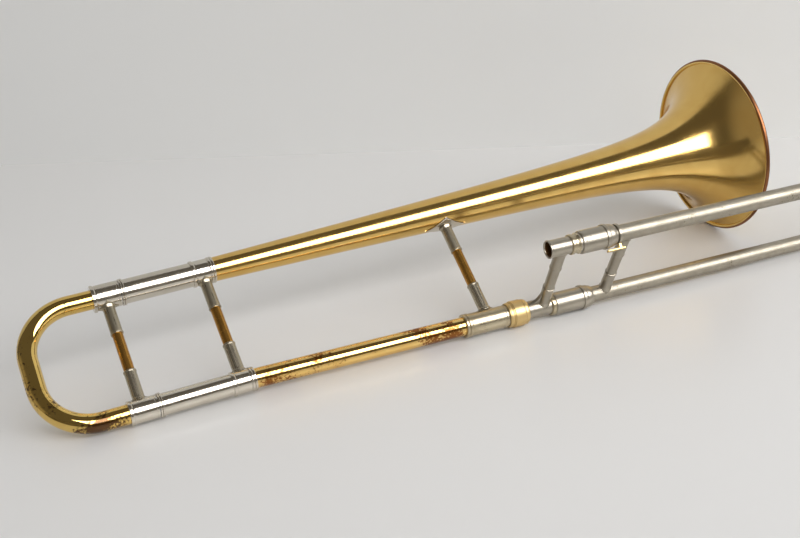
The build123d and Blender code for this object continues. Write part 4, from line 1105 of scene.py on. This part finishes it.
flatSheet("table", studio["tableHalf"], studio["tableHalf"], Matrix.Identity(4),
          paleSurface("whiteLaminate", "#e7e6e4", 0.3, False))  # white laminate with a slight gloss
wallPlace = (Matrix.Translation((*studio["wallAt"], studio["wallHeight"] / 2))
             @ Matrix.Rotation(math.radians(studio["wallTurn"]), 4, "Z")
             @ Matrix.Rotation(math.pi / 2, 4, "X"))
flatSheet("backdrop", studio["wallHalf"], studio["wallHeight"] / 2, wallPlace,
          paleSurface("paintedBoard", "#e6e6e4", 0.7, True))  # painted board
darkRoom = newMaterial("darkRoom")[0]
darkShader = [item for item in darkRoom.node_tree.nodes if item.type == "BSDF_PRINCIPLED"][0]
darkShader.inputs["Base Color"].default_value = hexColour("#857e74")
darkShader.inputs["Roughness"].default_value = 0.9
cardPlace = Matrix.Translation((studio["cardShift"], studio["cardAt"],
                                studio["cardHeight"] / 2)) @ Matrix.Rotation(
    -math.pi / 2, 4, "X")
# only reflections see it
card = flatSheet("darkCard", studio["cardHalf"], studio["cardHeight"] / 2, cardPlace, darkRoom)
card.visible_camera = card.visible_diffuse = card.visible_shadow = False

elevation = math.radians(studio["boxElevation"])
for use in ("shine", "fill"):  # one softbox, with its gleam on metal and its light on the table set apart
    light = bpy.data.lights.new(use + "Softbox", "AREA")
    light.shape = "RECTANGLE"
    light.size, light.size_y = studio["boxSize"]
    light.energy = studio[use + "Power"]
    light.color = hexColour("#fdfdff")[:3]
    softbox = bpy.data.objects.new(use + "Softbox", light)
    bpy.context.scene.collection.objects.link(softbox)
    aim = Vector(studio["boxAim"])
    softbox.location = aim + Vector((0, -math.cos(elevation), math.sin(elevation))) * studio["boxDistance"]
    softbox.rotation_euler = (math.pi / 2 - elevation, 0, 0)
    softbox.visible_camera = False
    softbox.visible_diffuse = use == "fill"
    softbox.visible_glossy = use == "shine"

world = bpy.data.worlds.new("studioRoom")
bpy.context.scene.world = world
world.use_nodes = True
tree = world.node_tree
tree.nodes.clear()
rays = addNode(tree, "ShaderNodeLightPath")
fill = addNode(tree, "ShaderNodeBackground",
               values={"Color": hexColour("#fbfaf8"), "Strength": studio["roomLight"]})
dark = addNode(tree, "ShaderNodeBackground",
               values={"Color": hexColour("#e8dfd2"), "Strength": studio["roomDark"]})
facing = addNode(tree, "ShaderNodeTexCoord").outputs["Generated"]
across = addNode(tree, "ShaderNodeSeparateXYZ", links={"Vector": facing}).outputs["X"]
paler = addNode(tree, "ShaderNodeMapRange", {"interpolation_type": "SMOOTHSTEP"},
                {"From Min": -0.75, "From Max": -0.98, "To Min": studio["roomDark"],
                 "To Max": studio["roomPale"]},
                {"Value": across})  # the room is paler towards its left side
tree.links.new(paler.outputs["Result"], dark.inputs["Strength"])
mixed = addNode(tree, "ShaderNodeMixShader", links={0: rays.outputs["Is Glossy Ray"], 1: fill.outputs[0],
                                                     2: dark.outputs[0]})
addNode(tree, "ShaderNodeOutputWorld", links={"Surface": mixed.outputs[0]})

cameraSet = {"place": (-0.6446, -0.9067, 0.5406), "turn": (63.714, 2.378, -24.975), "lens": 54.14}
camera = bpy.data.cameras.new("camera")
camera.lens = cameraSet["lens"]
camera.sensor_width = 36.0
cameraObject = bpy.data.objects.new("camera", camera)
bpy.context.scene.collection.objects.link(cameraObject)
cameraObject.location = cameraSet["place"]
cameraObject.rotation_euler = Euler([math.radians(angle) for angle in cameraSet["turn"]], "XYZ")
bpy.context.scene.camera = cameraObject
bpy.context.scene.view_settings.view_transform = "Standard"
print("studio made")
